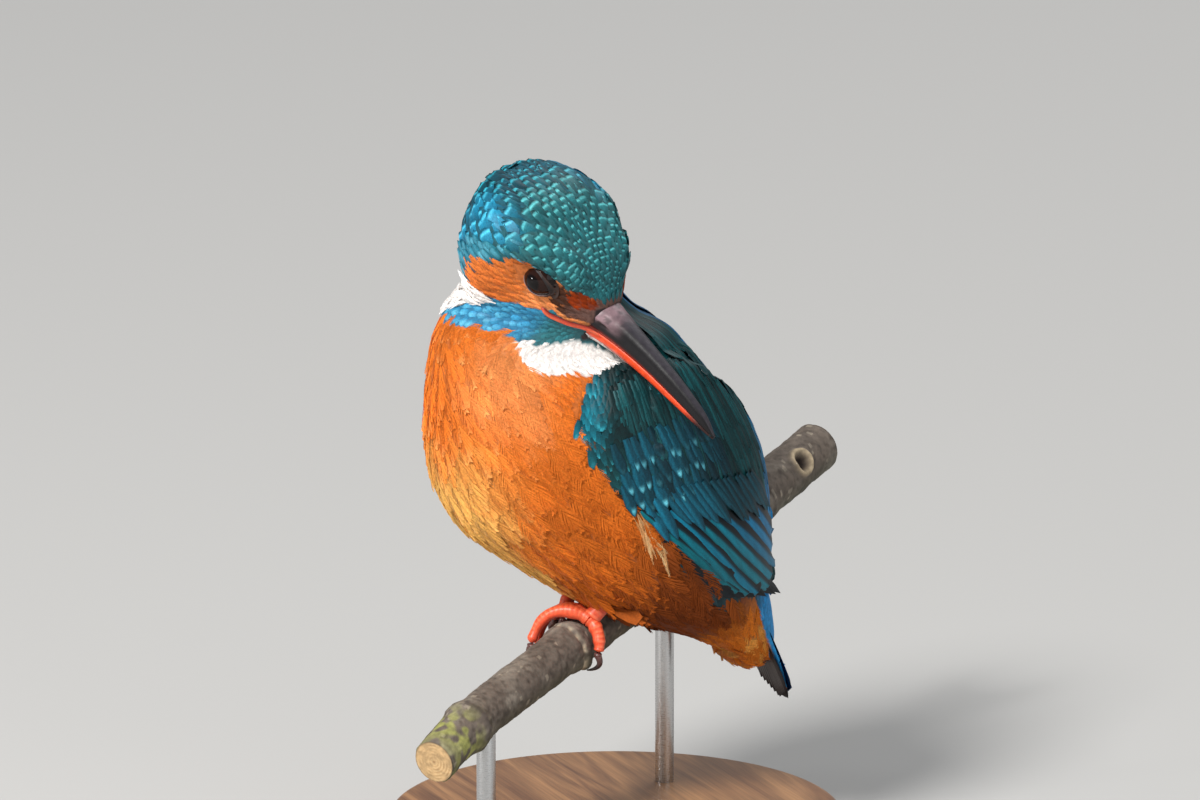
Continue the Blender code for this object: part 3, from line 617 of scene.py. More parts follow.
class Coat:
    """Feathers gathered for one piece, each rooted on the skin."""

    def __init__(self, name, material, slot):
        self.name, self.material, self.slot = name, material, slot
        self.points, self.faces, self.colours, self.uv, self.count = [], [], [], [], 0

    def add(self, points, faces, colours, uv):
        self.points.append(points.reshape(-1, 3))
        self.faces.append(faces.reshape(-1, 4) + self.count)
        self.colours.append(colours.reshape(-1, 3))
        self.uv.append(uv.reshape(-1, 2))
        self.count += len(self.points[-1])

    def lay(self, skin, roots, ways, ups, length, width, kind, paint, lift=6.0, yaw=7.0, seed=0, most=0.06):
        """Lays a feather of each length and width at each root, bent to follow the skin.

        Those that would reach into the bill are left out, and those that would stand away from the skin are
        shortened or left out. paint gives the points' colours, lift and yaw are in degrees, and most is the
        greatest bend.
        """
        roots, ways, ups = (np.asarray(v) for v in (roots, ways, ups))
        length = np.broadcast_to(length, (len(roots),)).astype(float)
        width = np.broadcast_to(width, (len(roots),)).astype(float)
        far = to_head(roots + ways * length[:, None])[:, 0] > 24
        clear = np.ones(len(roots), bool)
        if self.name != "chin_feathers":  # those lie against the bill
            for share in (0.9, 0.5):
                clear &= ~(far & in_bill(roots + ways * (length * share)[:, None] + ups * 0.6, 1.1))
        keep = np.nonzero(clear)[0]
        if not len(keep):
            return
        roots, ways, ups, length, width = (v[keep] for v in (roots, ways, ups, length, width))
        lift = np.broadcast_to(lift, (len(clear),))[keep]
        rng = np.random.default_rng(seed + 17)
        count = len(roots)
        turn = np.radians(rng.normal(0, yaw, count))[:, None]
        across = np.cross(ways, ups)
        ways = ways * np.cos(turn) + across * np.sin(turn)
        raised = np.radians(lift + rng.normal(0, 1.2, count))[:, None]
        along = ways * np.cos(raised) + ups * np.sin(raised)
        out = flat(ups, along)
        across = np.cross(along, out)
        for _ in range(3):
            away = skin.distance(roots + ways * length[:, None])
            length = np.where(away > 0.22 * length + 0.7, length * 0.7, length)
        held = skin.distance(roots + ways * length[:, None]) < 0.3 * length + 0.7
        roots, ways, ups, length, width = (v[held] for v in (roots, ways, ups, length, width))
        along, out, across, keep = along[held], out[held], across[held], keep[held]
        count = len(roots)
        root_uv = skin.bake_place(roots)
        bend = np.clip(skin.height(roots + ways * length[:, None]) / length**2, -0.01, most)
        pick = rng.integers(0, len(TEMPLATES[kind]), count)
        for which, (shape, quads) in enumerate(TEMPLATES[kind]):
            own = np.nonzero(pick == which)[0]
            if not len(own):
                continue
            n, v = len(own), len(shape)
            x, y, z = shape[:, 0], shape[:, 1], shape[:, 2]
            size = length[own][:, None]
            half = width[own][:, None] / 2
            drop = z * width[own][:, None] - bend[own][:, None] * (y * size) ** 2
            placed = roots[own][:, None] + across[own][:, None] * (x * half)[..., None]
            placed = placed + along[own][:, None] * (y * size)[..., None]
            placed = placed + out[own][:, None] * drop[..., None]
            spot = root_uv[own][:, None] + PATCH * np.stack([x * 0.5, y - 0.5], -1)[None]
            faces = quads[None] + (np.arange(n) * v)[:, None, None]
            self.add(placed, faces, paint(keep[own], x, y), spot)

    def make(self, most=92000):
        """Makes the piece, or several where one would hold too many faces."""
        points, faces = np.concatenate(self.points), np.concatenate(self.faces)
        colours, uv = np.concatenate(self.colours), np.concatenate(self.uv)
        parts = math.ceil(len(faces) / most)
        for k in range(parts):
            own = faces[k * len(faces) // parts : (k + 1) * len(faces) // parts]
            used, local = np.unique(own, return_inverse=True)
            name = self.name if parts == 1 else f"{self.name}_{k + 1}"
            look = (colours[used], self.material, self.slot, (), uv[used])
            build_mesh(name, points[used], local.reshape(-1, 4), *look)


class Skin:
    """The skin's surface, for rooting feathers on it."""

    def __init__(self):
        self.points, self.faces, self.normals = make_skin_shape()
        self.tree = tree_of(self.points, self.faces)
        self.map = unwrapped(self.points, self.faces)
        trees = {name: tree_of(*node_arrays(name)) for name in FLESH}
        nearest = np.array([[t.find_nearest(Vector(p))[3] for t in trees.values()] for p in self.points])
        self.owner = np.array(list(trees))[np.argmin(nearest, axis=1)]

    def bake_place(self, points):
        """Each point's place on the unwrap."""
        found = np.empty((len(points), 2))
        for i, p in enumerate(points):
            place, _, face, _ = self.tree.find_nearest(Vector(p))
            a, b, c = self.points[self.faces[face]]
            areas = [np.linalg.norm(np.cross(u - place, v - place)) for u, v in ((b, c), (c, a), (a, b))]
            found[i] = np.average(self.map[face], axis=0, weights=np.array(areas) + 1e-9)
        return found

    def distance(self, points):
        """How far points are from the skin."""
        return np.array([self.tree.find_nearest(Vector(p))[3] for p in points])

    def height(self, points):
        """How far points lie above the skin."""
        result = np.empty(len(points))
        for i, p in enumerate(points):
            place, normal, _, _ = self.tree.find_nearest(Vector(p))
            result[i] = (Vector(p) - place).dot(normal)
        return result

    def smooth_normals(self, points):
        """Normals at points, from the nearest face's corners."""
        result = np.empty((len(points), 3))
        for i, p in enumerate(points):
            face = self.tree.find_nearest(Vector(p))[2]
            result[i] = self.normals[self.faces[face]].mean(0)
        return unit(result)

    def drop(self, starts, ways):
        """Where rays meet the skin, with normals; the last value says which did."""
        places, hit = np.zeros((len(starts), 3)), np.zeros(len(starts), bool)
        for i, (start, way) in enumerate(zip(starts, ways)):
            place = self.tree.ray_cast(Vector(start), Vector(way))[0]
            if place is not None:
                places[i], hit[i] = place, True
        return places, hit

    def scatter(self, keep, spacing, tries, seed):
        """Random roots at least a spacing apart, on the faces that keep allows."""
        rng = np.random.default_rng(seed)
        corners = self.points[self.faces]
        middle = corners.mean(1)
        allowed = np.nonzero(keep(middle, self.owner[self.faces[:, 0]]))[0]
        area = np.linalg.norm(face_normals(self.points, self.faces), axis=1)[allowed]
        face = rng.choice(allowed, tries, p=area / area.sum())
        u, v = rng.random((2, tries))
        over = u + v > 1
        u, v = np.where(over, 1 - u, u), np.where(over, 1 - v, v)
        tri = corners[face]
        a, b, c = tri[:, 0], tri[:, 1], tri[:, 2]
        points = a + u[:, None] * (b - a) + v[:, None] * (c - a)
        gap = spacing(points)
        cell = gap.max()
        grid, chosen = {}, []
        keys = np.floor(points / cell).astype(int).tolist()
        around = [(a, b, c) for a in (-1, 0, 1) for b in (-1, 0, 1) for c in (-1, 0, 1)]
        rows = zip(keys, points.tolist(), (gap**2).tolist())
        for i, ((kx, ky, kz), (x, y, z), near) in enumerate(rows):
            others = [q for a, b, c in around for q in grid.get((kx + a, ky + b, kz + c), ())]
            if all((p - x) ** 2 + (q - y) ** 2 + (r - z) ** 2 >= near for p, q, r in others):
                grid.setdefault((kx, ky, kz), []).append((x, y, z))
                chosen.append(i)
        roots = points[chosen]
        normals = unit(self.normals[self.faces[face[chosen]]].mean(1))
        return roots, normals, self.owner[self.faces[face[chosen], 0]]


# ---------------------------------------------------------------- laying the coat
EYE_OPENING = ((7.4, 2.1), (3.55, 2.3), math.radians(-14.0))  # middle, half axes and tilt, forward and up


def eye_share(points):
    """How far points lie from the eye's middle, 1 at the edge of its opening."""
    f, r, u = to_head(points).T
    (cf, cu), (a, b), tilt = EYE_OPENING
    df, du = f - cf, u - cu
    along = df * math.cos(tilt) + du * math.sin(tilt)
    over = -df * math.sin(tilt) + du * math.cos(tilt)
    share = np.hypot(along / a, over / b)
    return np.where(np.abs(r) > 6, share, 9.0)


def gape_line(t):
    """The height of the line between the mandibles, t running from 0 to 1 along the bill."""
    return GAPE_HEIGHT + GAPE_ARCH * np.sin(np.asarray(t) * math.pi)


def bill_at(f, *columns):
    """Columns of BILL_SECTIONS at places forward."""
    places = [row[0] for row in BILL_SECTIONS]
    return [np.interp(f, places, [row[k] for row in BILL_SECTIONS]) for k in columns]


def in_bill(points, room=0.0):
    """Which points are inside the bill or closer to it than room."""
    f, r, u = to_head(points).T
    half, culmen, chin = bill_at(f, 1, 2, 3)
    line = gape_line(np.clip((f - BILL_START) / BILL_RUN, 0, 1))
    inside = (np.abs(r) < half + room) & (u < line + culmen + room) & (u > line - chin - room)
    return inside & (f > 13)


def shade(y, dark=0.5):
    """How bright a feather is along its length: painted shade, dark at its root where the feathers before it
    lie over it.
    """
    return dark + (1 - dark) * smooth(y, 0.05, 0.6)


def plain(colours, seed, tip=None, tip_share=0.0, dark=0.5, vary=0.12, edge=0.0):
    """A painter for feathers of one colour each, with painted shade at the root and a paler or darker tip."""
    rng = np.random.default_rng(seed)
    level = np.exp(rng.normal(0, vary, len(colours)))

    def paint(own, x, y):
        base = (colours[own] * level[own][:, None])[:, None] * shade(y, dark)[None, :, None]
        base = base * (1 - edge * smooth(np.abs(x), 0.35, 0.8))[None, :, None]
        if tip is not None:
            share = smooth(y, 0.68, 0.92)[None] * np.broadcast_to(tip_share, (len(colours),))[own][:, None]
            base = blend(base, tip, share)
        return base

    return paint


def barred(colours, bars, strength, seed, low=0.6, high=0.9, inner=0.75, dark=0.42, tail=0.5):
    """A painter for dark feathers with a bright bar before the tip and painted shade at the root."""
    rng = np.random.default_rng(seed)
    level = np.exp(rng.normal(0, 0.12, len(colours)))

    def paint(own, x, y):
        base = (colours[own] * level[own][:, None])[:, None] * shade(y, dark)[None, :, None]
        base = base * (1 - (1 - tail) * smooth(y, high, high + 0.06))[None, :, None]
        arc = y + 0.07 * x**2
        inside = smooth(arc, low - 0.06, low + 0.05) * (1 - smooth(arc, high - 0.02, high + 0.07))
        inside = inside * (1 - smooth(np.abs(x), inner - 0.12, inner + 0.15))
        return blend(base, bars[own][:, None], inside[None] * strength[own][:, None])

    return paint


def clear_of_eye(roots, ways, length, least=0.9):
    """Feathers shortened so that none reaches over the eye; a length of 0 means that it goes."""
    length = np.array(length, float)
    for _ in range(5):
        over = np.zeros(len(roots), bool)
        for share in (0.0, 0.4, 0.7, 1.0):
            over |= eye_share(roots + ways * (length * share)[:, None]) < 1.12
        length = np.where(over, length * 0.72, length)
    gone = (eye_share(roots) < 1.12) | over | (length < least)
    return np.where(gone, 0.0, length)


def crown_coat(skin, mats):
    """The crown's feathers in even rows, each with a bright bar before its tip."""
    roots, spacings = [], []
    polar, row = 9.0, 0  # degrees from the bill's way
    while polar < 168:
        step = np.interp(polar, (9, 27, 50, 85, 125, 168), (0.95, 1.15, 1.45, 2.1, 2.35, 2.5))
        radius = np.interp(polar, (9, 27, 60, 90, 130, 168), (20, 17, 14.5, 15.5, 17.0, 17.5))
        c, s = math.cos(math.radians(polar)), math.sin(math.radians(polar))
        ring = 2 * math.pi * max(radius, 15.5) * s
        count = max(8, int(round(ring / (step * 1.42))))
        turn = (np.arange(count) + 0.5 * (row % 2)) / count * 2 * math.pi
        way = np.stack([np.full(count, c), s * np.sin(turn), s * np.cos(turn)], 1)
        way = way[way[:, 2] > -0.75]
        start = from_head(way * 45.0)
        places, hit = skin.drop(start, -unit(way @ HEAD_AXES))
        roots.append(places[hit])
        spacings.append(np.full(hit.sum(), step))
        polar += math.degrees(step / radius)
        row += 1
    roots, step = np.concatenate(roots), np.concatenate(spacings)
    rng = np.random.default_rng(5)
    normals = skin.smooth_normals(roots)
    ways = lie(roots, normals, np.zeros(len(roots), bool))
    roots = roots + unit(np.cross(ways, normals)) * rng.normal(0, 0.12, len(roots))[:, None]
    shown = roots + ways * (step * 1.3)[:, None]
    keep = head_marks(shown)["crown"] & ~in_bill(roots, 0.4) & (to_head(roots)[:, 0] < 20.8)
    length = clear_of_eye(roots, ways, step * rng.uniform(2.2, 2.5, len(roots)), 0.9)
    keep &= length > 0
    roots, normals, ways, step, length = (v[keep] for v in (roots, normals, ways, step, length))
    f, r, _ = to_head(roots).T
    side = smooth(np.abs(r), 8, 12.5) * smooth(f, 5, -1) * smooth(f, -14, -9)
    nape = smooth(f, 0, -9)
    base = blend(blend(CROWN_DARK, NAPE * 0.55, nape), AZURE * 0.6, side * 0.8)
    bars = blend(blend(CROWN_BAR, NAPE_BAR, nape * 0.9), SIDE_BAR, side)
    strength = rng.uniform(0.45, 1.0, len(f)) * (0.55 + 0.45 * smooth(f, 18, 10))
    coat = Coat("crown_feathers", mats["firm"], "head_feathers")
    width = step * 1.85 * rng.uniform(0.9, 1.1, len(step))
    paint = barred(base, bars, strength, 6, 0.75, 0.82, 0.8, 0.34, 0.45)
    coat.lay(skin, roots, ways, normals, length, width, "crown", paint, 1.6, 6, 7)
    coat.make()


def face_coat(skin, mats):
    """The small feathers of the cheeks, throat, malar stripe, lores and neck patches."""

    def keep(points, _):
        marks = head_marks(points)
        clear = ~in_bill(points, 0.3) & (to_head(points)[:, 0] < 27)
        return (head_weight(points) > 0.5) & ~marks["crown"] & clear

    def spacing(points):
        return np.interp(to_head(points)[:, 0], (-12, 4, 20), (1.35, 1.15, 0.8))

    roots, normals, _ = skin.scatter(keep, spacing, 26000, 21)
    ways = lie(roots, normals, np.zeros(len(roots), bool))
    f = to_head(roots)[:, 0]
    rng = np.random.default_rng(22)
    length = np.interp(f, (-12, 4, 20), (6.2, 4.4, 2.6)) * rng.uniform(0.85, 1.15, len(roots))
    near_eye = eye_share(roots)
    length = length * (0.45 + 0.55 * smooth(near_eye, 1.1, 2.2))
    first = head_marks(roots + ways * (length * 0.85)[:, None])
    length = length * np.where(first["malar"], 0.72, 1.0) * np.where(first["throat"], 0.8, 1.0)
    length = length * np.where(first["white"], 1.15, 1.0)
    length = clear_of_eye(roots, ways, length, 0.6)
    shown = roots + ways * (length * 0.85)[:, None]
    ok = length > 0
    marks = {k: v & ok for k, v in head_marks(shown).items()}
    colour = head_colour(shown)
    lines = {
        "face_feathers": (("ear", "lore", "dark"), "small", "soft"),
        "malar_feathers": (("malar", "crown"), "firm", "firm"),
        "throat_feathers": (("throat", "white"), "soft", "soft"),
    }
    for name, (kinds, shape, finish) in lines.items():
        own = np.any([marks[k] for k in kinds], axis=0)
        coat = Coat(name, mats[finish], "head_feathers")
        own_roots, own_ways, own_normals, own_length = (v[own] for v in (roots, ways, normals, length))
        width = np.interp(f[own], (-12, 4, 20), (2.3, 1.7, 1.1))
        if name == "malar_feathers":
            strength = rng.uniform(0.1, 0.6, own.sum()) * smooth(f[own], 14, 6)
            bars = np.tile(MALAR_BAR, (own.sum(), 1))
            paint = barred(colour[own], bars, strength, 24, 0.5, 0.9, 0.6, 0.55, 0.75)
        else:
            streak = rng.random(own.sum()) < 0.2
            paint = plain(colour[own], 25, np.minimum(colour[own].mean(0) * 1.5, 1), 0.35 * streak, 0.62, 0.1)
        lift = np.where(marks["white"][own], 6.0, 4.0)
        coat.lay(skin, own_roots, own_ways, own_normals, own_length, width, shape, paint, lift, 5, 26)
        if name == "throat_feathers":  # a second layer, which makes the neck patch bulge
            top = marks["white"][own]
            paint = plain(colour[own][top], 28, None, 0.0, 0.75, 0.04)
            raised = own_roots[top] + own_normals[top] * 0.7
            sizes = (own_length[top], (width * 1.3)[top])
            coat.lay(skin, raised, own_ways[top], own_normals[top], *sizes, "hair", paint, 5.0, 5, 27)
        coat.make()
    rest = ok & ~np.any(list(marks.values()), axis=0)
    return roots[rest], ways[rest], normals[rest], length[rest]


def body_coat(skin, mats, extra):
    """The loose feathers of the breast, belly, flanks, vent and back."""

    def keep(points, owner):
        wing = np.char.startswith(owner, "wing") & ~below_wing(points)
        along_tail = (points - TAIL_ROOT) @ unit(TAIL_TIP - TAIL_ROOT)
        above = (points - TAIL_ROOT) @ np.array((0.0, 0.909, 0.418)) > 0.2
        bare = (along_tail > np.where(above, 8.0, 27.0)) & (points[:, 1] > 26)
        return (head_weight(points) < 0.55) & ~wing & ~bare

    def spacing(points):
        return np.interp(points[:, 2], (-18, 0, 20, 62, 72), (1.7, 1.9, 1.9, 1.75, 1.35))

    roots, normals, _ = skin.scatter(keep, spacing, 42000, 31)
    ways = lie(roots, normals, np.zeros(len(roots), bool))
    rng = np.random.default_rng(32)
    length = np.interp(roots[:, 2], (-18, 0, 20, 60, 72), (7.5, 8.5, 9.5, 8.5, 5.5))
    length = length * rng.uniform(0.85, 1.15, len(roots))
    roots, ways, normals = (np.concatenate([a, b]) for a, b in zip((roots, ways, normals), extra[:3]))
    length = np.concatenate([length, extra[3]])
    vent = smooth(roots[:, 1] - roots[:, 2], 14, 24)
    length = length * (1 - 0.3 * vent)
    length = length * (1 - 0.55 * smooth(roots[:, 2], 9, 3) * (1 - vent))
    tips = roots + ways * length[:, None]
    over = (bearing(tips) > np.interp(tips[:, 2], *WING_EDGE) - 2) & (bearing(tips) < 120)
    over &= tips[:, 2] > 40
    length = np.where(over, length * 0.5, length)
    shown = roots + ways * (length * 0.7)[:, None]
    colour = body_colour(shown, np.zeros(len(shown), bool))
    orange = colour[:, 0] > colour[:, 2] * 1.6
    patch = noise(shown * (1, 1, 0.5), 5.0, 3) * 0.16 + noise(shown * (1, 1, 0.4), 1.8, 4) * 0.14
    colour = colour * (1 + patch)[:, None]
    # painted highlights: pale tips on a random share of the breast feathers, most towards the front
    highlight_fleck = rng.random(len(shown)) * smooth(bearing(shown), 75, 15)
    for name, own, finish in (("breast_feathers", orange, "soft"), ("back_feathers", ~orange, "firm")):
        coat = Coat(name, mats[finish], "breast_feathers")
        places = (roots[own], ways[own], normals[own])
        width = length[own] * 0.5
        if name == "breast_feathers":
            paint = plain(colour[own], 33, BREAST_HIGHLIGHT, 0.42 * highlight_fleck[own] ** 2.5, 0.8, 0.06)
            lift = (2.4 - 1.6 * vent)[own]
            coat.lay(skin, *places, length[own], width, "soft", paint, lift, 5, 34)
        else:
            bright = blend(colour[own] * 1.3, BACK, 0.25 * smooth(colour[own][:, 2], 0.06, 0.2))
            paint = barred(colour[own] * 0.8, bright, rng.uniform(0.3, 0.9, own.sum()), 35, 0.5, 0.9, 0.7)
            coat.lay(skin, *places, length[own] * 0.72, width * 0.85, "firm", paint, 1.0, 6, 36)
        coat.make()


def on_body(skin, z, b, side, height=0.0):
    """Points over the skin at a height over GRIP and a bearing from the breast, with normals."""
    z, b = np.broadcast_arrays(np.asarray(z, float), np.radians(np.asarray(b, float)))
    way = np.stack([side * np.sin(b), -np.cos(b), np.zeros_like(b)], -1).reshape(-1, 3)
    hub = np.zeros_like(way)
    hub[:, 2] = z.ravel()
    places, hit = skin.drop(hub + way * 70, -way)
    for _ in range(4):  # past the bill, which lies over the back
        again = np.nonzero(hit & in_bill(places, 1.5))[0]
        if len(again):
            places[again], hit[again] = skin.drop(places[again] - way[again] * 2.5, -way[again])
    f, r, u = to_head(places).T
    chin = (f > 6) & (f < 31) & (u > -16.5) & (np.abs(r) < 12)
    hit &= ~in_bill(places, 1.0) & ~chin
    normals = np.zeros_like(places)
    normals[hit] = skin.smooth_normals(places[hit])
    return places + normals * height, normals, hit


def blade(coat, skin, middle, normals, half, paint, shape=(24, 9), tip=0.14, root=0.55):
    """A long vane along points over the skin, widest past its middle and round at its tip."""
    stations, columns = shape
    t = np.linspace(0, 1, stations)
    centre = spline(middle, t)
    up = unit(spline(normals, t))
    way = unit(np.gradient(centre, axis=0))
    side = unit(np.cross(way, up))
    wide = half * (root + (1 - root) * smooth(t, 0, 0.5))
    wide = wide * np.sqrt(np.clip((1 - t) / tip, 0, 1)).clip(0.05, 1)
    x = np.linspace(-1, 1, columns)
    drop = -0.12 * half * np.abs(x) ** 1.6 + 0.10 * np.exp(-((x / 0.12) ** 2))
    points = centre[:, None] + side[:, None] * (wide[:, None] * x)[..., None]
    points = points + up[:, None] * drop[None, :, None]
    across, along = np.broadcast_arrays(x, t[:, None])
    patch = PATCH * 3 * np.stack([across * 0.5, along - 0.5], -1)
    spot = skin.bake_place(centre[[stations // 2]])[0] + patch
    coat.add(points, loft_faces(stations, columns, False), paint(t[:, None], across), spot)


def streaked(outer, inner, seed, line=0.35, dark_tip=0.0):
    """A painter for a long vane: an outer and an inner colour, a dark shaft, fine barbs and painted shade
    along its edges.
    """
    rng = np.random.default_rng(seed)
    level = rng.uniform(0.85, 1.15)

    def paint(t, x):
        colour = blend(np.asarray(outer) * np.ones(3), inner, smooth(x, -0.1, 0.04) * np.ones_like(t))
        barbs = 0.12 * np.sin((t * 130 + np.abs(x) * 9)) + 0.08 * np.sin(t * 47 + x * 5 + seed)
        colour = colour * (level * (1 + barbs))[..., None]
        shaft = np.exp(-((x / 0.08) ** 2)) * np.ones_like(t)
        colour = colour * (1 - line * shaft)[..., None]
        # painted shade along the vane's edges, where the next feather laps over it
        edge = smooth(np.abs(x), 0.8, 1.0) * np.ones_like(t)
        colour = colour * (1 - 0.5 * edge)[..., None]
        return blend(colour, VANE_DARK, smooth(t, 0.84, 0.97) * dark_tip * np.ones_like(x))

    return paint


def spotted(outer, inner, spot, strength, seed):
    """A painter for a covert with a pale spot before its tip."""
    under = streaked(outer, inner, seed, 0.2)

    def paint(t, x):
        share = np.exp(-(((x - 0.05) / 0.55) ** 4) - ((t - 0.85) / 0.08) ** 2)
        return blend(under(t, x), spot, share * strength)

    return paint


def longer(middle, normals, reach):
    """A line of points carried on straight at its end."""
    way = unit(unit(middle[-1] - middle[-3]) + 0.12 * normals[-1])
    return np.concatenate([middle, [middle[-1] + way * reach]]), np.concatenate([normals, normals[-1:]])


SECONDARIES = (  # the height and bearing of each one's root and tip, from the wing's front edge to the back
    (29.2, 98.7, 10.6, 147.1),
    (29.6, 103.5, 9.5, 152.2),
    (29.3, 110.0, 9.1, 156.8),
    (28.3, 117.7, 9.5, 162.4),
    (28.1, 125.0, 11.6, 164.1),
    (27.9, 131.3, 13.4, 168.0),
    (28.3, 139.3, 15.5, 170.0),
    (29.0, 146.0, 17.5, 171.0),
)
SCAPULAR_EDGE = ((78, 88, 105, 115, 148, 156, 168), (53, 47, 39, 32, 30, 23, 20))


def flight_coat(vane_at, mats, name, rng):
    """The dark primaries, and the secondaries over them."""
    flight = Coat("flight_feathers_" + name, mats["flight"], "wing_feathers")
    for j in range(6):  # the primaries, dark, under the rest, with their tips showing behind
        paint = streaked(VANE_DARK * 1.3, VANE_DARK, 50 + j)
        start, end = (25 - 1.2 * j, 104 + 6.5 * j), (10.2 - 0.2 * j, 143 + 4.2 * j)
        vane_at(flight, start, end, 0.3, 1.9, paint, 2.0 + 1.0 * j, (20, 7), 0.25)
    for j, (z0, b0, z1, b1) in enumerate(SECONDARIES):
        blue = smooth(np.array(j), 3, 7)
        outer = blend(blend(VANE, linear(0, 112, 112), rng.uniform(0, 0.6)), linear(4, 108, 164), blue * 0.7)
        paint = streaked(outer, VANE_DARK, 60 + j, 0.35, 0.3)
        vane_at(flight, (z0 + 3, b0 - 6), (z1, b1), 0.5 + 0.1 * j, 1.95, paint, 0.8)
    flight.make()


def covert_coat(skin, vane_at, mats, name, rng):
    """Four rows of coverts, and the small ones up to the shoulder."""
    coat = Coat("wing_coverts_" + name, mats["firm"], "wing_feathers")
    for j in range(17):  # the greater coverts, bright over the flight feathers' roots
        b = 95.5 + 3.2 * j + rng.uniform(-0.8, 0.8)
        z = np.interp(b, (90, 100, 120, 150), (34.0, 37.0, 37.5, 36.5))
        glow = smooth(b, 128, 98) * rng.uniform(0.4, 1.0)
        outer = blend(COVERT * rng.uniform(0.6, 1.0), COVERT_BRIGHT, glow)
        paint = streaked(outer, outer * 0.45, 140 + j, -0.25 * glow)
        end = (z - 8.0 - rng.uniform(0, 3.0), b + 11)
        vane_at(coat, (z, b - 3), end, 0.85 + 0.04 * j, 1.2, paint, 0, (18, 7), 0.35)
    for row, (z0, b0, step) in enumerate(((38.5, 85.0, 5.0), (43.0, 83.0, 5.0), (47.5, 80.0, 5.0))):
        for j in range(12):  # the median coverts, each with a pale spot
            b = b0 + 0.8 * step * j + rng.uniform(-1, 1)
            z = z0 + 0.12 * (b - b0) + rng.uniform(-0.6, 0.6)
            share = (1.0, 0.95, 0.6)[row] * rng.choice((0.1, 0.7, 1.0)) * smooth(b, 124, 106)
            tone = blend(COVERT * rng.uniform(0.3, 0.9), COVERT_BRIGHT, 0.35 * share)
            paint = spotted(tone, tone * 0.6, DOT, share, 160 + j + 20 * row)
            vane_at(coat, (z, b - 1), (z - 7.0, b + 5), 1.0 + 0.06 * row, 1.25, paint, 0, (18, 7), 0.35)

    def lesser(points, owner):
        b, z = bearing(points), points[:, 2]
        edge = np.interp(z, *WING_EDGE)
        return np.char.startswith(owner, "wing_" + name) & (b > edge - 2) & (z > 40) & (b < 112)

    roots, normals, _ = skin.scatter(lesser, lambda p: np.interp(p[:, 2], (44, 54), (1.6, 1.15)), 14000, 73)
    ways = lie(roots, normals, np.ones(len(roots), bool))
    z, b = roots[:, 2], bearing(roots)
    shoulder = smooth(b, 80, 68) * smooth(z, 44, 50)
    # painted shadow of the head and bill on the lesser coverts: the teal is darkened and the dots dimmed
    # there
    dark = smooth(b, 72, 80) * smooth(b, 104, 94) * smooth(z, 44, 50)
    teal = blend(SCAPULAR, SHOULDER, shoulder) * (1 - 0.6 * dark)[:, None]
    dots = np.where(rng.random(len(roots)) < 0.45, rng.uniform(0.35, 1.0, len(roots)), 0.05)
    dots = dots * (0.3 + 0.7 * smooth(z, 54, 47)) * (1 - 0.85 * dark)
    dots = np.maximum(dots, 0.8 * shoulder * rng.uniform(0.2, 1, len(roots)))
    paint = barred(teal, np.tile(SHOULDER_DOT, (len(roots), 1)), dots, 74, 0.66, 0.92, 0.5)
    length = np.interp(z, (38, 48, 60), (6.2, 4.6, 3.4)) * rng.uniform(0.85, 1.15, len(roots))
    coat.lay(skin, roots + normals * 0.8, ways, normals, length, length * 0.5, "firm", paint, 4, 7, 75)
    coat.make()


def scapular_coat(skin, vane_at, mats, name, rng):
    """The feathers of the shoulder and the back, over a closed layer of short ones."""

    def inner(points, owner):
        own = np.char.startswith(owner, "wing_" + name)
        return own & (bearing(points) > 112) & (abs(points[:, 2] - 45) < 19)

    scapulars = Coat("scapulars_" + name, mats["firm"], "wing_feathers")
    roots, normals, _ = skin.scatter(inner, lambda p: np.full(len(p), 2.3), 9000, 81)
    ways = lie(roots, normals, np.ones(len(roots), bool))
    azure = smooth(bearing(roots), 155, 163)
    tones = blend(SCAPULAR, BACK * 0.7, azure)
    paint = barred(tones, tones * 1.6, rng.uniform(0.1, 0.6, len(roots)), 82, 0.5, 0.9, 0.7)
    scapulars.lay(skin, roots + normals * 0.2, ways, normals, 6.0, 3.4, "firm", paint, 0.6, 4, 83)
    for level in range(9):
        for k in range(31):
            b = 79 + 2.9 * k + rng.uniform(-1, 1)
            z = np.interp(b, *SCAPULAR_EDGE) + 5.0 * level + rng.uniform(-1.6, 1.6)
            if z > 66:
                continue
            tone = SCAPULAR * rng.uniform(0.45, 1.4)
            tone = blend(tone, BACK * 0.7, smooth(np.array(b), 157, 164) * 0.8)
            paint = streaked(tone, tone * 0.6, 200 + 30 * level + k, -0.9 if rng.random() < 0.35 else 0.3)
            high = 0.85 + 0.06 * level
            vane_at(scapulars, (z + 11, b - 4), (z, b + 1), high, 1.25, paint, 0, (16, 7), 0.4)
    scapulars.make()


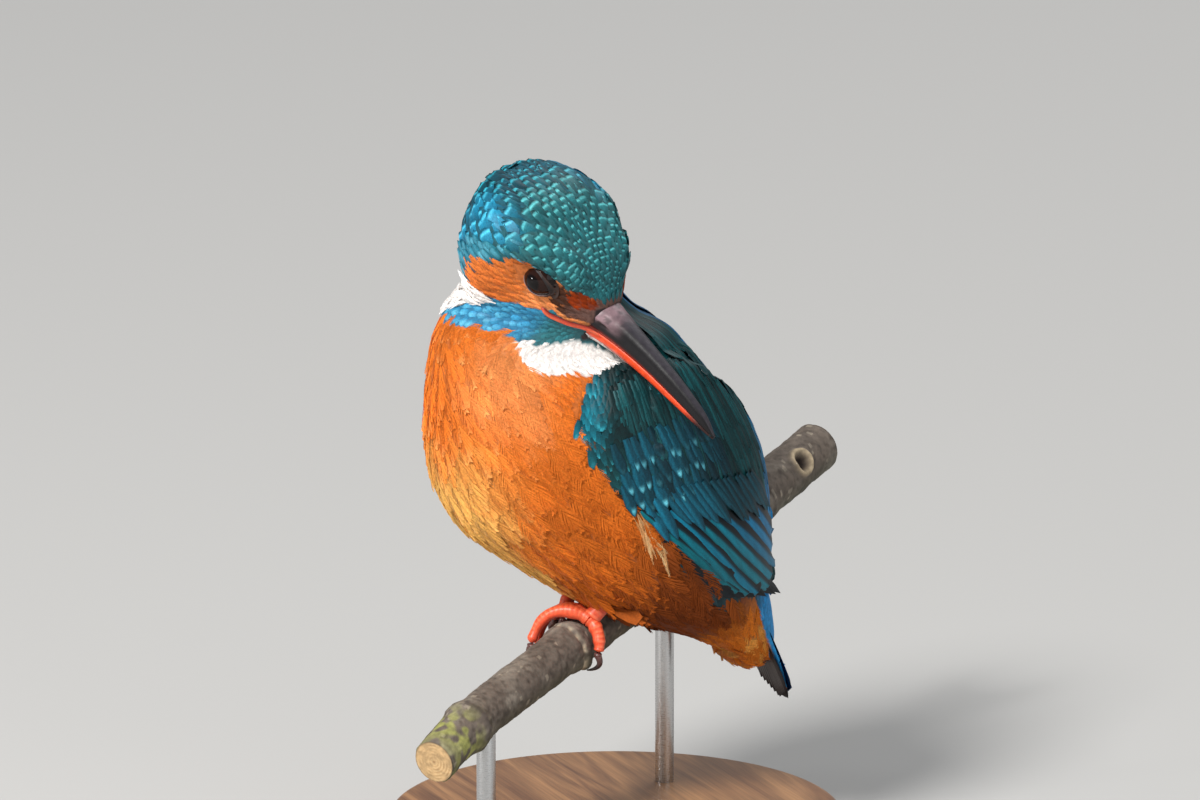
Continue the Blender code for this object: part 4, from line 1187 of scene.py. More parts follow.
def fringe_coat(skin, mats, side, name, rng):
    """The fine feathers that lap over the wing's front edge, and the pale plume under it."""
    fringe = Coat("wing_edge_feathers_" + name, mats["soft"], "breast_feathers")
    z = rng.uniform(33, 50, 60)
    b = np.interp(z, *WING_EDGE) - rng.uniform(-1.5, 3.0, 60)
    places, normals, hit = on_body(skin, z, b, side, 0.6)
    places, normals = places[hit], normals[hit]
    across = np.stack([side * np.cos(np.radians(b)), np.sin(np.radians(b)), np.full(len(b), -0.55)], 1)[hit]
    ways = flat(across, normals)
    tan = blend(linear(150, 92, 40), linear(34, 30, 26), rng.uniform(0.1, 1.0, len(places)))
    paint = plain(tan, 76, None, 0.0, 0.7, 0.15)
    fringe.lay(skin, places, ways, normals, rng.uniform(3.5, 6.0, len(places)), 0.9, "hair", paint, 4, 12, 77)
    z = rng.uniform(23.5, 32, 18)  # the pale plume under the wing
    b = np.interp(z, (24, 31), (101, 90)) + rng.uniform(-3, 3, 18)
    places, normals, hit = on_body(skin, z, b, side, 0.7)
    places, normals = places[hit], normals[hit]
    down = np.array((0, 0.42, -1.0))
    ways = unit(down - normals * (normals @ down)[:, None])
    cream = blend(linear(244, 214, 160), linear(206, 132, 66), rng.uniform(0.1, 0.9, len(places)))
    paint = plain(cream, 78, None, 0.0, 0.75, 0.1)
    fringe.lay(skin, places, ways, normals, rng.uniform(6.0, 9.0, len(places)), 0.9, "hair", paint, 3, 8, 79)
    fringe.make()


def wing_coat(skin, mats, side, name):
    """A folded wing. Its random draws run on from one group of feathers to the next."""
    rng = np.random.default_rng(41)

    def vane_at(coat, start, end, high, half, paint, reach=0.0, shape=(24, 9), tip=0.14):
        """A vane from one height and bearing to another, unless the head or the bill hides it."""
        z, b = np.linspace(start[0], end[0], 9), np.linspace(start[1], end[1], 9)
        middle, normals, hit = on_body(skin, z, b, side, high)
        if hit.sum() < 4:
            return
        middle, normals = middle[hit], normals[hit]
        gaps = np.linalg.norm(np.diff(middle, axis=0), axis=1)
        if gaps.max() > 1.6 * np.median(gaps) + 0.3:  # broken by the head or the bill
            return
        middle, normals = longer(middle, normals, reach) if reach else (middle, normals)
        mirrored = paint if side < 0 else lambda t, x: paint(t, -x)
        blade(coat, skin, middle, normals, half, mirrored, shape, tip)

    flight_coat(vane_at, mats, name, rng)
    covert_coat(skin, vane_at, mats, name, rng)
    scapular_coat(skin, vane_at, mats, name, rng)
    fringe_coat(skin, mats, side, name, rng)


def tail_coat(skin, mats):
    """Twelve tail feathers, blue above and grey below, with the outer ones lowest."""
    coat = Coat("tail_feathers", mats["flight"], "tail_feathers")
    way = unit(TAIL_TIP - TAIL_ROOT)
    up = np.array((0.0, -way[2], way[1]))
    for over in (1, -1):
        for k in range(6):
            for side in (-1, 1):
                t = np.linspace(0.05, 1.0 - 0.018 * k, 6)
                spread = side * (0.5 + 1.25 * k) * (0.55 + 0.45 * t)
                high = over * (1.15 - 0.5 * t) + (0.12 * (5 - k) if over > 0 else -0.06 * k)
                middle = TAIL_ROOT + way * (np.linalg.norm(TAIL_TIP - TAIL_ROOT) * t)[:, None]
                middle = middle + up * (high + 0.8 * np.sin(t * math.pi))[:, None]
                middle[:, 0] += spread
                if over > 0:
                    paint = streaked(TAIL_BLUE, TAIL_BLUE * 0.8, 120 + k, 0.5, 0.7)
                else:
                    paint = streaked(linear(38, 40, 44), linear(56, 54, 54), 130 + k, -0.9)
                blade(coat, skin, middle, np.tile(up * over, (6, 1)), 2.1, paint, (22, 7), 0.1, 0.85)
    coat.make()


# ---------------------------------------------------------------- the head's bare parts
EYEBALL = np.array((7.2, 9.6, 1.9))
EYEBALL_RADIUS = 4.1
LIDS = (  # how far out of the opening, how high over the eyeball, how pink below, and how rough
    (0.98, -0.15, 0, 0),
    (1.0, 0.12, 1, 0),
    (1.04, 0.2, 1, 0.06),
    (1.09, 0.15, 0.3, 0.06),
    (1.15, 0.06, 0, 0),
    (1.27, 0.0, 0, 0),
    (1.42, -0.08, 0, 0),
)


def make_eyes(mats):
    """Dark glossy eyeballs, each inside a rim of lids."""
    (cf, cu), (a, b), tilt = EYE_OPENING
    for name, side in (("eye_right", 1), ("eye_left", -1)):
        rings, sides = 33, 48
        polar = np.linspace(0.0, math.pi, rings)[:, None]
        turn = np.arange(sides) * 2 * math.pi / sides
        bulge = 1 + 0.035 * np.exp(-((polar / 0.75) ** 2))
        out = np.sin(polar)
        places = (out * np.cos(turn), np.cos(polar) * side, out * np.sin(turn))
        local = np.stack(np.broadcast_arrays(*places), -1)
        points = (local * (EYEBALL_RADIUS * bulge)[..., None]).reshape(-1, 3) + EYEBALL * (1, side, 1)
        angle = np.broadcast_to(polar, (rings, sides)).ravel()
        iris = blend(linear(10, 6, 6), linear(36, 18, 13), smooth(angle, 0.42, 0.5))
        iris = blend(iris, linear(20, 12, 10), smooth(angle, 0.85, 1.0))
        faces = loft_faces(rings, sides)
        look = (iris, mats["eye"], "eye", (name,))
        build_mesh("eyeball" + name[3:], from_head(points), faces[:, ::side], *look)

        sides = 96
        turn = np.arange(sides) * 2 * math.pi / sides
        x, y = np.cos(turn), np.sin(turn)
        pinch = 1 - 0.10 * np.abs(x) ** 3
        rings, tints = [], []
        rough = noise(np.stack([turn * 9, turn * 0], 1), 1.0, 9)
        for k, (out, height, pink, uneven) in enumerate(LIDS):
            along, over = a * out * x, b * out * y * pinch
            f = cf + along * math.cos(tilt) - over * math.sin(tilt)
            u = cu + along * math.sin(tilt) + over * math.cos(tilt)
            wide = EYEBALL_RADIUS + height + uneven * rough
            deep = np.sqrt(np.maximum(wide**2 - (f - EYEBALL[0]) ** 2 - (u - EYEBALL[2]) ** 2, 0.2))
            rings.append(np.stack([f, side * (EYEBALL[1] + deep), u], 1))
            low = smooth(-y, 0.1, 0.6) * pink
            rim = np.tile(linear(20, 12, 11) if k < 4 else FACE_DARK * 0.4, (sides, 1))
            tints.append(blend(rim, linear(160, 128, 122), low * 0.6))
        points = from_head(np.concatenate(rings))
        faces = loft_faces(len(LIDS), sides)[:, ::side]
        build_mesh("eyelids" + name[3:], points, faces, np.concatenate(tints), mats["lid"], "eye")


def make_bill(mats):
    """Two mandibles with a nostril slit and a keel above, and the red rim of the gape."""
    rings, sides = 90, 34
    t = np.linspace(0, 1, rings)
    place, half, culmen, chin = spline(BILL_SECTIONS, t).T
    line = gape_line(t)
    for name, upper in (("bill_upper", True), ("bill_lower", False)):
        turn = np.linspace(0, math.pi, sides - 1)
        tall = culmen if upper else chin
        wide = np.sign(np.cos(turn)) * np.abs(np.cos(turn)) ** (0.62 if upper else 0.6) * half[:, None]
        high = np.sin(turn) ** (0.95 if upper else 1.0) * (tall[:, None] - 0.15) + 0.15
        wide = wide * (1 - 0.12 * np.sin(turn) ** 6 * smooth(place, 20, 30)[:, None])
        f = np.broadcast_to(place[:, None], wide.shape)
        share = high / np.maximum(tall[:, None], 0.1)
        if upper:  # a nostril slit low at the base, under a raised edge
            groove = np.exp(-(((f - 21.5) / 1.9) ** 2) - ((share - 0.40) / 0.09) ** 2)
            ridge = np.exp(-(((f - 21.5) / 3.2) ** 2) - ((share - 0.60) / 0.12) ** 2)
            wide = wide * (1 - 0.16 * groove + 0.07 * ridge)
            high = high + 0.1 * noise(np.stack([f, wide, high], -1), 0.8, 5) * smooth(f, 27, 20)
        high = (line[:, None] + high) if upper else (line[:, None] - high)
        outer = np.stack([f, wide, high], -1)
        hub = np.stack([place, np.zeros(rings), line + (0.12 if upper else -0.12)], 1)
        ring = np.concatenate([outer, hub[:, None]], 1)
        points, faces = capped(ring.reshape(-1, 3), rings, sides)
        pf, _, pu = points.T
        rel = np.abs(pu - np.interp(pf, place, line)) / np.interp(pf, place, tall)
        if upper:
            grey = blend(linear(126, 104, 110), linear(150, 120, 126), 0.5 + 0.5 * noise(points, 0.9, 6))
            worn = 0.45 + 0.55 * (noise(points, 1.3, 7) > -0.25)
            base = smooth(pf, 27, 21) * smooth(rel, 0.3, 0.5) * worn
            colour = blend(linear(16, 14, 17), grey, base * 0.9)
            # a painted highlight: a paler grey along the culmen's ridge
            colour = blend(colour, linear(74, 70, 78), 0.5 * smooth(rel, 0.86, 1.0) * smooth(pf, 20, 26))
            hole = np.exp(-(((pf - 21.5) / 1.7) ** 2) - ((rel - 0.40) / 0.08) ** 2)
            colour = blend(colour, linear(14, 10, 12), hole)
            colour = blend(colour, linear(196, 62, 34), 0.9 * smooth(rel, 0.16, 0.05) * smooth(pf, 50, 34))
        else:
            red = blend(linear(228, 76, 36), linear(176, 52, 30), smooth(rel, 0.4, 1.0))
            pale = linear(176, 132, 128)
            red = blend(red, pale, 0.85 * smooth(rel, 0.38, 0.6) * smooth(pf, 33, 22))
            colour = blend(red, linear(52, 30, 28), smooth(pf, 44.5, 50.5))
        turned = faces if upper else faces[:, ::-1]
        slot = "bill_black" if upper else "bill_red"
        build_mesh("mandible" + name[4:], from_head(points), turned, colour, mats["bill"], slot, (name,))


def make_gape(skin, mats):
    """The red fleshy rim that runs from the bill's edge back under the eye."""
    rings, sides = 26, 12
    t = np.linspace(0, 1, rings)
    for name, side in (("right", 1), ("left", -1)):
        f = 10.4 + 12.0 * t
        u = np.interp(f, (10.4, 12.5, 17, 22.4), (-3.75, -4.4, -4.2, -3.45))
        start = np.stack([f, np.full(rings, side * 26.0), u], 1)
        way = np.tile(np.array((0.0, -side, 0.0)) @ HEAD_AXES, (rings, 1))
        places, hit = skin.drop(from_head(start), way)
        local = to_head(places)
        (half,) = bill_at(f, 1)
        reach = np.maximum(np.where(hit, np.abs(local[:, 1]), 0), np.where(f > 12.5, half, 0))
        reach = np.convolve(np.pad(reach, 3, "edge"), np.ones(7) / 7, "valid")
        thick = 0.62 * np.sqrt(np.clip(t / 0.1, 0, 1)) * np.sqrt(np.clip((1 - t) / 0.25, 0.02, 1))
        turn = np.arange(sides) * 2 * math.pi / sides
        ring = np.stack(
            [
                np.broadcast_to(f[:, None], (rings, sides)),
                side * (reach[:, None] + 0.35 + 0.6 * thick[:, None] * np.cos(turn)),
                u[:, None] + thick[:, None] * np.sin(turn),
            ],
            -1,
        )
        points, faces = capped(ring.reshape(-1, 3), rings, sides)
        lit = 0.5 + 0.5 * noise(points, 1.2, 8)
        colour = blend(linear(206, 62, 34), linear(238, 128, 84), lit * 0.6)
        over = points[:, 2] - np.interp(points[:, 0], f, u)
        colour = blend(colour, linear(120, 30, 22), smooth(over, 0.1, 0.5))
        build_mesh("gape_" + name, from_head(points), faces[:, ::side], colour, mats["foot"], "bill_red")


def chin_coat(skin, mats):
    """The wedge of white feathers that runs out under the lower mandible."""
    rng = np.random.default_rng(91)
    t = rng.random(420) ** 0.9
    f = 16.5 + 12.3 * t
    low = np.interp(f, (16, 24, 29), (25, 38, 72))
    turn = np.radians(rng.uniform(low, 180 - low))
    half, chin = bill_at(f, 1, 3)
    wide = np.sign(np.cos(turn)) * np.abs(np.cos(turn)) ** 0.6 * half
    line = gape_line(np.clip((f - BILL_START) / BILL_RUN, 0, 1))
    head = np.stack([f, wide, line - np.sin(turn) * chin], 1)
    ups = unit(np.stack([np.zeros(len(f)), np.cos(turn) * 0.9, -np.sin(turn)], 1))
    back = np.tile((-1.0, 0.0, -0.22), (len(f), 1))
    ways, ups = flat(back, ups) @ HEAD_AXES, ups @ HEAD_AXES
    coat = Coat("chin_feathers", mats["soft"], "head_feathers")
    white = np.tile(WHITE, (len(f), 1)) * rng.uniform(0.9, 1.0, (len(f), 1))
    length = np.interp(f, (16, 29), (4.6, 2.8))
    paint = plain(white, 92, None, 0.0, 0.8, 0.03)
    coat.lay(skin, from_head(head), ways, ups, length, 1.5, "small", paint, 6, 8, 93, 0.0)
    coat.make()


# ---------------------------------------------------------------- feet and branch
def perch_axes():
    """Ways along the branch, out from it under the breast, and up from it."""
    c, s = math.cos(PERCH_RISE), math.sin(PERCH_RISE)
    along = np.array((-math.sin(PERCH_BEARING) * c, math.cos(PERCH_BEARING) * c, s))
    breast = np.array((-math.cos(PERCH_BEARING), -math.sin(PERCH_BEARING), 0.0))
    return along, breast, np.cross(along, breast)


def perch_radius(step):
    """The branch's radius along its axis, with its rings of old bud scars."""
    radius = PERCH_RADIUS + 0.004 * step
    radius = radius + 0.55 * np.exp(-(((step + 9.0) / 2.0) ** 2))
    radius = radius + 0.75 * np.exp(-(((step + 49.0) / 2.6) ** 2))
    return radius + 0.45 * np.exp(-(((step - 67.0) / 3.0) ** 2))


def perch_point(step, angle, radius):
    """Points round the branch's axis, the angle turning from its top towards the breast."""
    along, breast, up = perch_axes()
    step, angle, radius = np.broadcast_arrays(*(np.asarray(v, float) for v in (step, angle, radius)))
    bend = -0.005 * np.maximum(0.0, -step - 40.0) ** 2 + 0.0002 * np.maximum(0.0, step) ** 2
    middle = step[..., None] * along + bend[..., None] * np.array((0.0, 0.0, 1.0))
    return middle + (np.cos(angle)[..., None] * up + np.sin(angle)[..., None] * breast) * radius[..., None]


def scaly_tube(line, radii, hint, scale, first, sides=20):
    """A tube along a line with raised cross scales on its upper side, with painted highlights on their crests
    and painted shade in the grooves between them and underneath; returns points, faces and colours.
    """
    t = np.linspace(0, 1, 90)
    centre, radius = spline(line, t), spline(np.array(radii)[:, None], t)[:, 0]
    way = unit(np.gradient(centre, axis=0))
    up = flat(hint, way)
    side = np.cross(way, up)
    run = np.concatenate([[0], np.cumsum(np.linalg.norm(np.diff(centre, axis=0), axis=1))])
    turn = np.arange(sides) * 2 * math.pi / sides
    crest = smooth(np.cos(turn), -0.2, 0.5)[None]
    wave = ((run / scale + first) % 1.0)[:, None]
    bump = (np.minimum(wave / 0.7, (1 - wave) / 0.3) - 0.5) * 0.055 * crest
    pad = 0.12 * np.sin(run / 2.3)[:, None] * smooth(-np.cos(turn), 0.2, 0.9)[None]
    round_end = np.sqrt(np.clip(t / 0.03, 0.02, 1)) * np.sqrt(np.clip((1 - t) / 0.05, 0.03, 1))
    reach = (radius * round_end)[:, None] * (1 + bump * 0.6 + pad)
    points = centre[:, None] + up[:, None] * (reach * np.cos(turn))[..., None]
    points = points + side[:, None] * (reach * np.sin(turn))[..., None]
    points, faces = capped(points.reshape(-1, 3), len(t), sides)
    red = linear(232, 88, 52)
    # painted highlight on each scale's crest
    light = smooth(wave, 0.25, 0.6) * (1 - smooth(wave, 0.72, 0.95)) * crest
    colour = blend(red, linear(250, 142, 98), 0.35 * light.ravel())
    # painted shade in the grooves between the scales
    groove = ((wave > 0.93) | (wave < 0.06)) * crest
    colour = blend(colour, linear(160, 44, 30), 0.25 * groove.ravel())
    # painted shade: a darker red on the underside of the shank and toes
    under = np.broadcast_to(smooth(-np.cos(turn), 0.1, 0.9)[None], light.shape).ravel()
    colour = blend(colour, linear(168, 44, 36), 0.5 * under)
    return points, faces, np.concatenate([colour, [red, red]])


def make_claw(mats, cad, along, step, angle):
    """One claw, from inside the toe's end round the branch to its point."""
    count, sides = 22, 14
    t = np.linspace(-0.12, 1, count)
    out = perch_radius(step) + 1.5 - 0.8 * t + CLAW_ARCH * np.sin(np.clip(t, 0, 1) * math.pi)
    swing = math.copysign(1, angle) * (0.9 + CLAW_LENGTH * t) / out
    curve = perch_point(np.full(count, step), math.radians(angle) + swing, out)
    way = unit(np.gradient(curve, axis=0))
    across = np.tile(along, (count, 1))
    rim = np.cross(way, across)
    radius = 0.72 * np.clip(1 - t, 0, 1) ** 0.75 + 0.13
    spin = np.arange(sides) * 2 * math.pi / sides
    ring = curve[:, None] + rim[:, None] * (radius[:, None] * np.cos(spin))[..., None]
    ring = ring + across[:, None] * (0.8 * radius[:, None] * np.sin(spin))[..., None]
    points, faces = capped(ring.reshape(-1, 3), count, sides)
    share = np.concatenate([np.repeat(t, sides), [0, 1]])
    horn = blend(linear(96, 62, 58), linear(36, 28, 28), smooth(share, 0.0, 0.7))
    build_mesh("horn_" + cad, points, faces, horn, mats["claw"], "claw", (cad,))


def make_feet(mats):
    """Each foot as one scaly skin of a shank and four toes, and its claws."""
    along, _, _ = perch_axes()
    for name, side, sole, rise, *ends in FEET:
        turn = math.radians(sole[1])
        foot = perch_point(sole[0], turn, perch_radius(sole[0]) + TOE_RADIUS + 0.9)
        knee = np.array((side * KNEE[0], KNEE[1], KNEE[2]))
        lines = [([foot, foot * 0.5 + knee * 0.5, knee], [TARSUS_RADIUS * k for k in (1.12, 0.98, 1.0)], 1.3)]
        for toe, (step, angle) in zip(TOES, ends):
            t = np.linspace(0, 1, 8)
            at = sole[0] + (step - sole[0]) * t**1.6
            bend = np.radians(sole[1] + (angle - sole[1]) * t)
            high = rise if angle > 0 else 0.2
            clear = perch_radius(at) + TOE_RADIUS * (1 - 0.2 * t) + 0.55 + high * np.sin(t * math.pi)
            knuckle = 1 + 0.10 * np.cos(t * 3 * 2 * math.pi)
            lines.append((perch_point(at, bend, clear), TOE_RADIUS * (1.05 - 0.3 * t) * knuckle, 1.0))
            make_claw(mats, f"claw_{name}_{toe}", along, step, angle)
        points, faces, colours, count = [], [], [], 0
        for k, (line, radii, scale) in enumerate(lines):
            places = spline(np.array(line), np.linspace(0, 1, 90))
            out = unit(places - perch_point(places @ along, 0.0, 0.0))
            if k == 0:
                out = np.tile(np.array((0.55, -0.8, 0.2)), (90, 1))
            made, quads, colour = scaly_tube(line, radii, out, scale, 0.3 * k)
            points.append(made)
            faces.append(quads + count)
            colours.append(colour)
            count += len(made)
        made = (np.concatenate(points), np.concatenate(faces), np.concatenate(colours))
        build_mesh("foot_" + name, *made, mats["foot"], "foot_skin", ("leg_" + name,))


def make_perch(mats):
    """The branch with its bark: rings of old bud scars, a pale crack, a knot, lichen and sawn ends."""
    rings, sides = 620, 96
    steps = np.linspace(PERCH_START, PERCH_END, rings)[:, None]
    turns = (np.arange(sides) * 2 * math.pi / sides)[None]
    step, turn = np.broadcast_arrays(steps, turns)
    place = perch_point(step, turn, 5.0)
    ridge = noise(place, 3.2, 11) * 0.16 + noise(place, 1.1, 12) * 0.09 + noise(place, 0.5, 13) * 0.05
    lines = noise(np.stack([step * 0.06, 6 * np.cos(turn), 6 * np.sin(turn)], -1), 1.0, 14)
    radius = perch_radius(step) + ridge + 0.08 * lines - 0.1
    near = np.cos(turn - math.radians(-60))
    crack = np.exp(-(((step + 9.2 + 1.2 * near) / 0.5) ** 2))
    collar = np.exp(-(((step + 11.2 + 1.2 * near) / 0.9) ** 2))
    radius = radius - 0.35 * crack + 0.18 * collar
    knob = np.exp(-(((step + 8.0) / 1.5) ** 2) - (np.angle(np.exp(1j * (turn + 2.35))) / 0.35) ** 2)
    radius = radius + 0.8 * knob
    knot_turn = np.angle(np.exp(1j * (turn + 0.95)))
    knot = np.hypot((step - 81.0) / 2.6, knot_turn / 0.46)
    radius = radius + 0.9 * np.exp(-(((knot - 1.05) / 0.30) ** 2)) - 1.5 * smooth(knot, 0.9, 0.45)
    scar = np.exp(-(((step + 49.0) / 0.7) ** 2)) + np.exp(-(((step - 67.0) / 0.6) ** 2))
    radius = radius + 0.15 * scar
    edge = np.minimum(step - PERCH_START, PERCH_END - step)
    radius = radius - 0.45 * (1 - np.sqrt(np.clip(edge / 0.5, 0, 1)))
    points = perch_point(step, turn, radius)
    small = noise(place, 0.9, 16)
    spots = lattice(np.floor(np.stack([step * 1.15, turn * 4.2], -1)), 17) > 0.955
    grey = blend(linear(132, 118, 106), linear(164, 152, 138), smooth(noise(place, 5.5, 15), -0.2, 0.7))
    grey = blend(grey, linear(92, 78, 68), 0.6 * smooth(small, 0.1, 0.7))
    grey = blend(grey, linear(84, 88, 62), 0.65 * smooth(-np.cos(turn), -0.35, 0.8)) * 0.55
    lichen = np.exp(-(((step + 56.5) / 5.0) ** 2)) * smooth(noise(place, 1.6, 18), -0.25, 0.25)
    pale = np.clip(crack * smooth(noise(place, 1.2, 19), -0.5, 0.3), 0, 1)
    for tone, share in (
        (linear(170, 158, 140), 0.5 * (spots & (small > -0.15))),
        (linear(158, 160, 84), 0.8 * lichen),
        (linear(206, 190, 162), pale * 0.85),
        (linear(196, 176, 144), np.exp(-(((knot - 1.0) / 0.22) ** 2)) * 0.85),
        (linear(40, 28, 22), smooth(knot, 0.85, 0.5)),
        (linear(60, 50, 48), 0.5 * scar),
    ):
        grey = blend(grey, tone, share)
    made, faces = capped(points.reshape(-1, 3), rings, sides)
    colour = np.concatenate([grey.reshape(-1, 3), np.tile(linear(196, 164, 118), (2, 1))])
    build_mesh("bark", made, faces, colour, mats["bark"], "bark", ("perch",))
    for name, at, out in (("low", PERCH_START, -1), ("high", PERCH_END, 1)):
        sawn_end(mats, name, at, out, turns)


def sawn_end(mats, name, at, out, turn):
    """A sawn face of the branch, with its year rings."""
    sides = turn.size
    reach = np.linspace(0, 1, 14)[1:, None] * (perch_radius(np.array(at)) - 0.35)
    disc = perch_point(np.full((13, sides), at + 0.06 * out), turn + 0 * reach, reach + 0 * turn)
    disc = disc + perch_axes()[0] * (noise(disc, 0.5, 20)[..., None] * 0.04)
    year = 0.5 + 0.5 * np.sin(reach * 9 + noise(disc, 1.5, 21))
    wood = blend(linear(206, 176, 130), linear(164, 126, 84), year)
    wood = blend(wood, linear(92, 74, 58), smooth(reach, 4.2, 4.7) + 0 * turn)
    hub = perch_point(at + 0.06 * out, 0.0, 0.0)
    ring = np.concatenate([np.tile(hub, (sides, 1)), disc.reshape(-1, 3)])
    tint = np.concatenate([np.tile(linear(150, 112, 74), (sides, 1)), wood.reshape(-1, 3)])
    quads = loft_faces(14, sides)[:, ::out]
    build_mesh("sawn_end_" + name, ring, quads, tint, mats["bark"], "bark")


# ---------------------------------------------------------------- stand, floor, light and camera
def stretched(tree, scale, texture):
    """A noise over the object, stretched by a scale along each axis."""
    place = node(tree, "ShaderNodeTexCoord").outputs["Object"]
    mapping = node(tree, "ShaderNodeMapping", {"Vector": place, "Scale": scale})
    inputs = {"Vector": mapping.outputs["Vector"], "Scale": 1.0, **texture}
    return node(tree, "ShaderNodeTexNoise", inputs).outputs["Fac"]


def wood_material():
    """Brown wood with a figure along its X axis, and fine pores."""
    made, tree, bsdf = shader("stand wood", Roughness=0.42, Coat_Weight=0.15, Coat_Roughness=0.25)
    figure = stretched(tree, (14.0, 160.0, 160.0), {"Detail": 5.0, "Distortion": 1.4})
    pores = stretched(tree, (60.0, 2200.0, 2200.0), {"Detail": 3.0})
    ramp = node(tree, "ShaderNodeValToRGB", {"Fac": figure})
    stops = ((0.34, linear(112, 74, 46)), (0.66, linear(168, 122, 80)))
    for element, (at, tone) in zip(ramp.color_ramp.elements, stops):
        element.position = at
        element.color = (*tone, 1)
    coloured(tree, bsdf, ramp.outputs["Color"], ranged(tree, pores, 0.35, 0.6, 0.78, 1.05))
    relieved(tree, bsdf, pores, 0.25, 0.0001)
    return made


def steel_material():
    """Steel brushed along its length."""
    made, tree, bsdf = shader("stand steel", Metallic=1.0, Base_Color=(0.56, 0.56, 0.57, 1.0))
    brushed = stretched(tree, (900.0, 900.0, 12000.0), {"Detail": 2.0})
    tree.links.new(ranged(tree, brushed, 0.3, 0.7, 0.24, 0.4), bsdf.inputs["Roughness"])
    tree.links.new(ranged(tree, brushed, 0.3, 0.7, 0.48, 0.62), bsdf.inputs["Base Color"])
    return made


def turned(name, profile, centre, material, slot, hides, sides=160):
    """A body turned round a vertical axis from a closed profile of radii and heights."""
    turn = np.arange(sides) * 2 * math.pi / sides
    x, y = np.cos(turn), np.sin(turn)
    rings = [np.stack([centre[0] + r * x, centre[1] + r * y, np.full(sides, z)], 1) for r, z in profile]
    points, faces = capped(np.concatenate(rings), len(profile), sides)
    return build_mesh(name, points - GRIP, faces, None, material, slot, hides)


def rounded(radius, low, high, bevel, steps=5):
    """A profile for a turned disc or rod with rounded edges, from the bottom up."""
    angles = np.linspace(0, math.pi / 2, steps)
    foot = [(radius - bevel * (1 - math.sin(a)), low + bevel * (1 - math.cos(a))) for a in angles]
    top = [(radius - bevel * (1 - math.cos(a)), high - bevel * (1 - math.sin(a))) for a in angles]
    return foot + top


def make_stand():
    """The wooden disc and the two steel rods, at the sizes of their solids."""
    low, high = (np.array(c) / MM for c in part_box("stand_base"))
    middle, radius = (low + high) / 2, (high[0] - low[0]) / 2
    wood, steel = wood_material(), steel_material()
    profile = rounded(radius, low[2], high[2], 1.6)
    turned("stand_disc", profile, middle, wood, "stand_wood", ("stand_base",))
    for name in ("stand_rod_front", "stand_rod_back"):
        low, high = (np.array(c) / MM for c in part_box(name))
        middle, radius = (low + high) / 2, (high[0] - low[0]) / 2
        profile = rounded(radius, low[2], high[2], 0.2)
        turned(name + "_bar", profile, middle, steel, "stand_steel", (name,), 64)


def make_stage():
    """A plain round floor."""
    sides, radius = 64, 7
    turn = np.arange(sides) * 2 * math.pi / sides
    points = [(0.0, 0.0, 0.0)] + [(radius * math.cos(a), radius * math.sin(a), 0.0) for a in turn]
    faces = [(0, 1 + k, 1 + (k + 1) % sides) for k in range(sides)]
    mesh = bpy.data.meshes.new("floor")
    mesh.from_pydata(points, [], faces)
    mesh.polygons.foreach_set("use_smooth", np.ones(len(faces), bool))
    made, _, _ = shader("floor", Base_Color=(0.5, 0.495, 0.485, 1.0), Roughness=0.8)
    mesh.materials.append(made)
    floor = bpy.data.objects.new("floor", mesh)
    bpy.context.scene.collection.objects.link(floor)


def lamp(name, place, target, size, power, colour=(1.0, 1.0, 1.0)):
    """A round lamp that looks at its target."""
    light = bpy.data.lights.new(name, "AREA")
    light.shape = "DISK"
    light.size, light.energy, light.color = size, power, colour
    obj = bpy.data.objects.new(name, light)
    bpy.context.scene.collection.objects.link(obj)
    obj.location = place
    obj.rotation_mode = "QUATERNION"
    obj.rotation_quaternion = (Vector(target) - Vector(place)).to_track_quat("-Z", "Y")


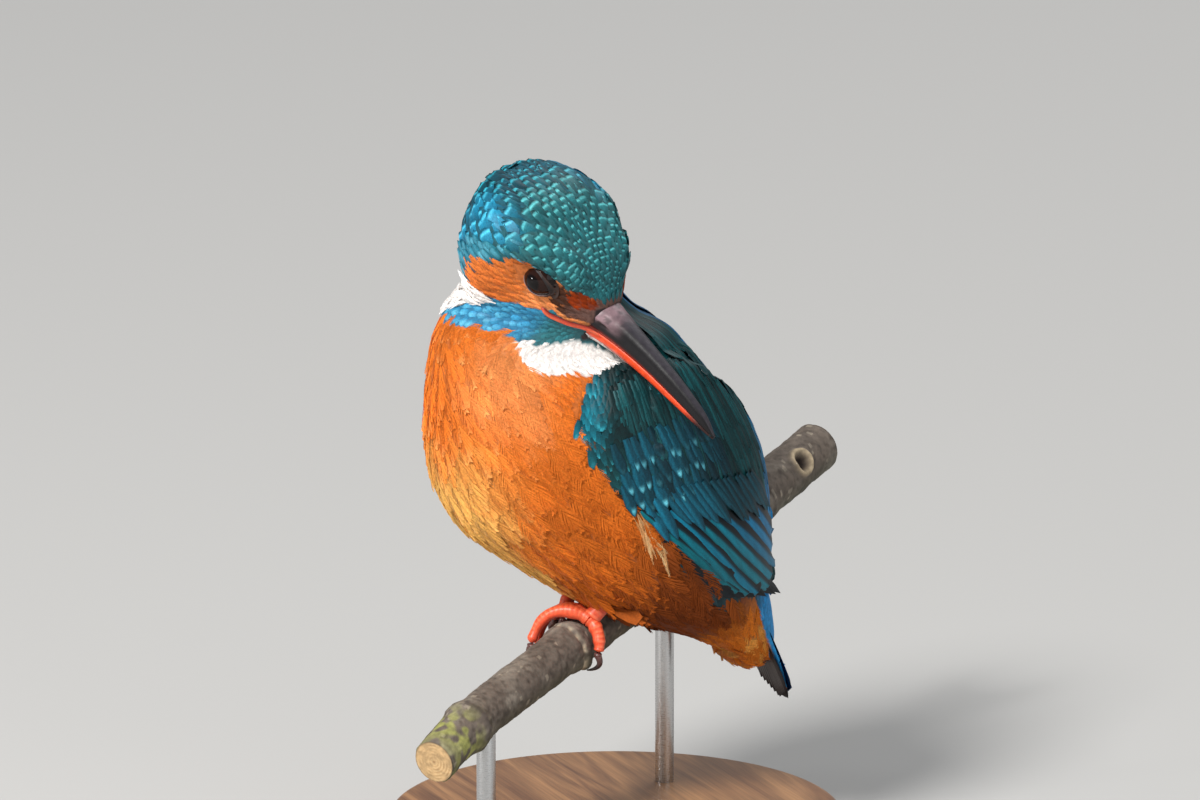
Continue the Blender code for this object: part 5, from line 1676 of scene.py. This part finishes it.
def make_light_and_camera():
    azimuth, elevation = math.radians(68.0), math.radians(14.0)
    c, s = math.cos(azimuth), math.sin(azimuth)
    side, front = np.array((c, s, 0.0)), np.array((s, -c, 0.0))
    back = front * math.cos(elevation) + np.array((0.0, 0.0, math.sin(elevation)))
    up = np.cross(back, side)
    target = (GRIP + side * 2.1 + up * 48.4) * MM
    lens, sensor, wide = 400.0, 36.0, 0.2526  # the last is the picture's width at the target, in metres
    camera = bpy.data.cameras.new("camera")
    camera.lens, camera.sensor_width = lens, sensor
    camera.clip_start, camera.clip_end = 0.1, 20.0
    obj = bpy.data.objects.new("camera", camera)
    bpy.context.scene.collection.objects.link(obj)
    obj.location = target + back * (wide * lens / sensor)
    obj.rotation_mode = "QUATERNION"
    obj.rotation_quaternion = Vector(back).to_track_quat("Z", "Y")
    bpy.context.scene.camera = obj
    middle = (GRIP + (0, 0, 45)) * MM
    for name, ahead, beside, over, size, power, colour in (
        ("key", 1.5, -1.0, 1.65, 0.66, 72.0, (1.0, 0.985, 0.96)),
        ("fill", 1.6, 1.4, 0.4, 1.6, 9.0, (0.95, 0.98, 1.0)),
        ("rim", -1.4, 0.8, 1.9, 1.2, 20.0, (1.0, 1.0, 1.0)),
    ):
        place = middle + (front * ahead + side * beside + np.array((0, 0, over)))
        lamp(name, place, middle, size, power, colour)
    # a small light whose reflection sits in the dark eye
    half = unit(np.array((-0.12, 1.0, 0.3)) @ HEAD_AXES)
    toward = 2 * (half @ back) * half - back
    eye = (GRIP + from_head(np.array(EYE_CENTRE))) * MM
    lamp("glint", eye + toward * 0.6, eye, 0.07, 0.6)
    world = bpy.data.worlds.new("studio")
    world.use_nodes = True
    sky = world.node_tree.nodes["Background"]
    sky.inputs["Color"].default_value = (0.86, 0.88, 0.9, 1.0)
    sky.inputs["Strength"].default_value = 0.32
    bpy.context.scene.world = world
    bpy.context.scene.view_settings.view_transform = "Standard"


def dress():
    """Makes every piece, from the skin outwards."""
    mats = make_materials()
    skin = Skin()
    wing = np.char.startswith(skin.owner, "wing")
    tint = skin_colour(skin.points, wing) * 0.7
    tint = np.where(in_bill(skin.points)[:, None], linear(40, 30, 30), tint)
    build_mesh("skin", skin.points, skin.faces, tint, mats["skin"], "breast_feathers", FLESH)
    crown_coat(skin, mats)
    extra = face_coat(skin, mats)
    body_coat(skin, mats, extra)
    wing_coat(skin, mats, 1, "left")
    wing_coat(skin, mats, -1, "right")
    tail_coat(skin, mats)
    chin_coat(skin, mats)
    make_eyes(mats)
    make_bill(mats)
    make_gape(skin, mats)
    make_feet(mats)
    make_perch(mats)
    make_stand()
    make_stage()
    make_light_and_camera()


dress()
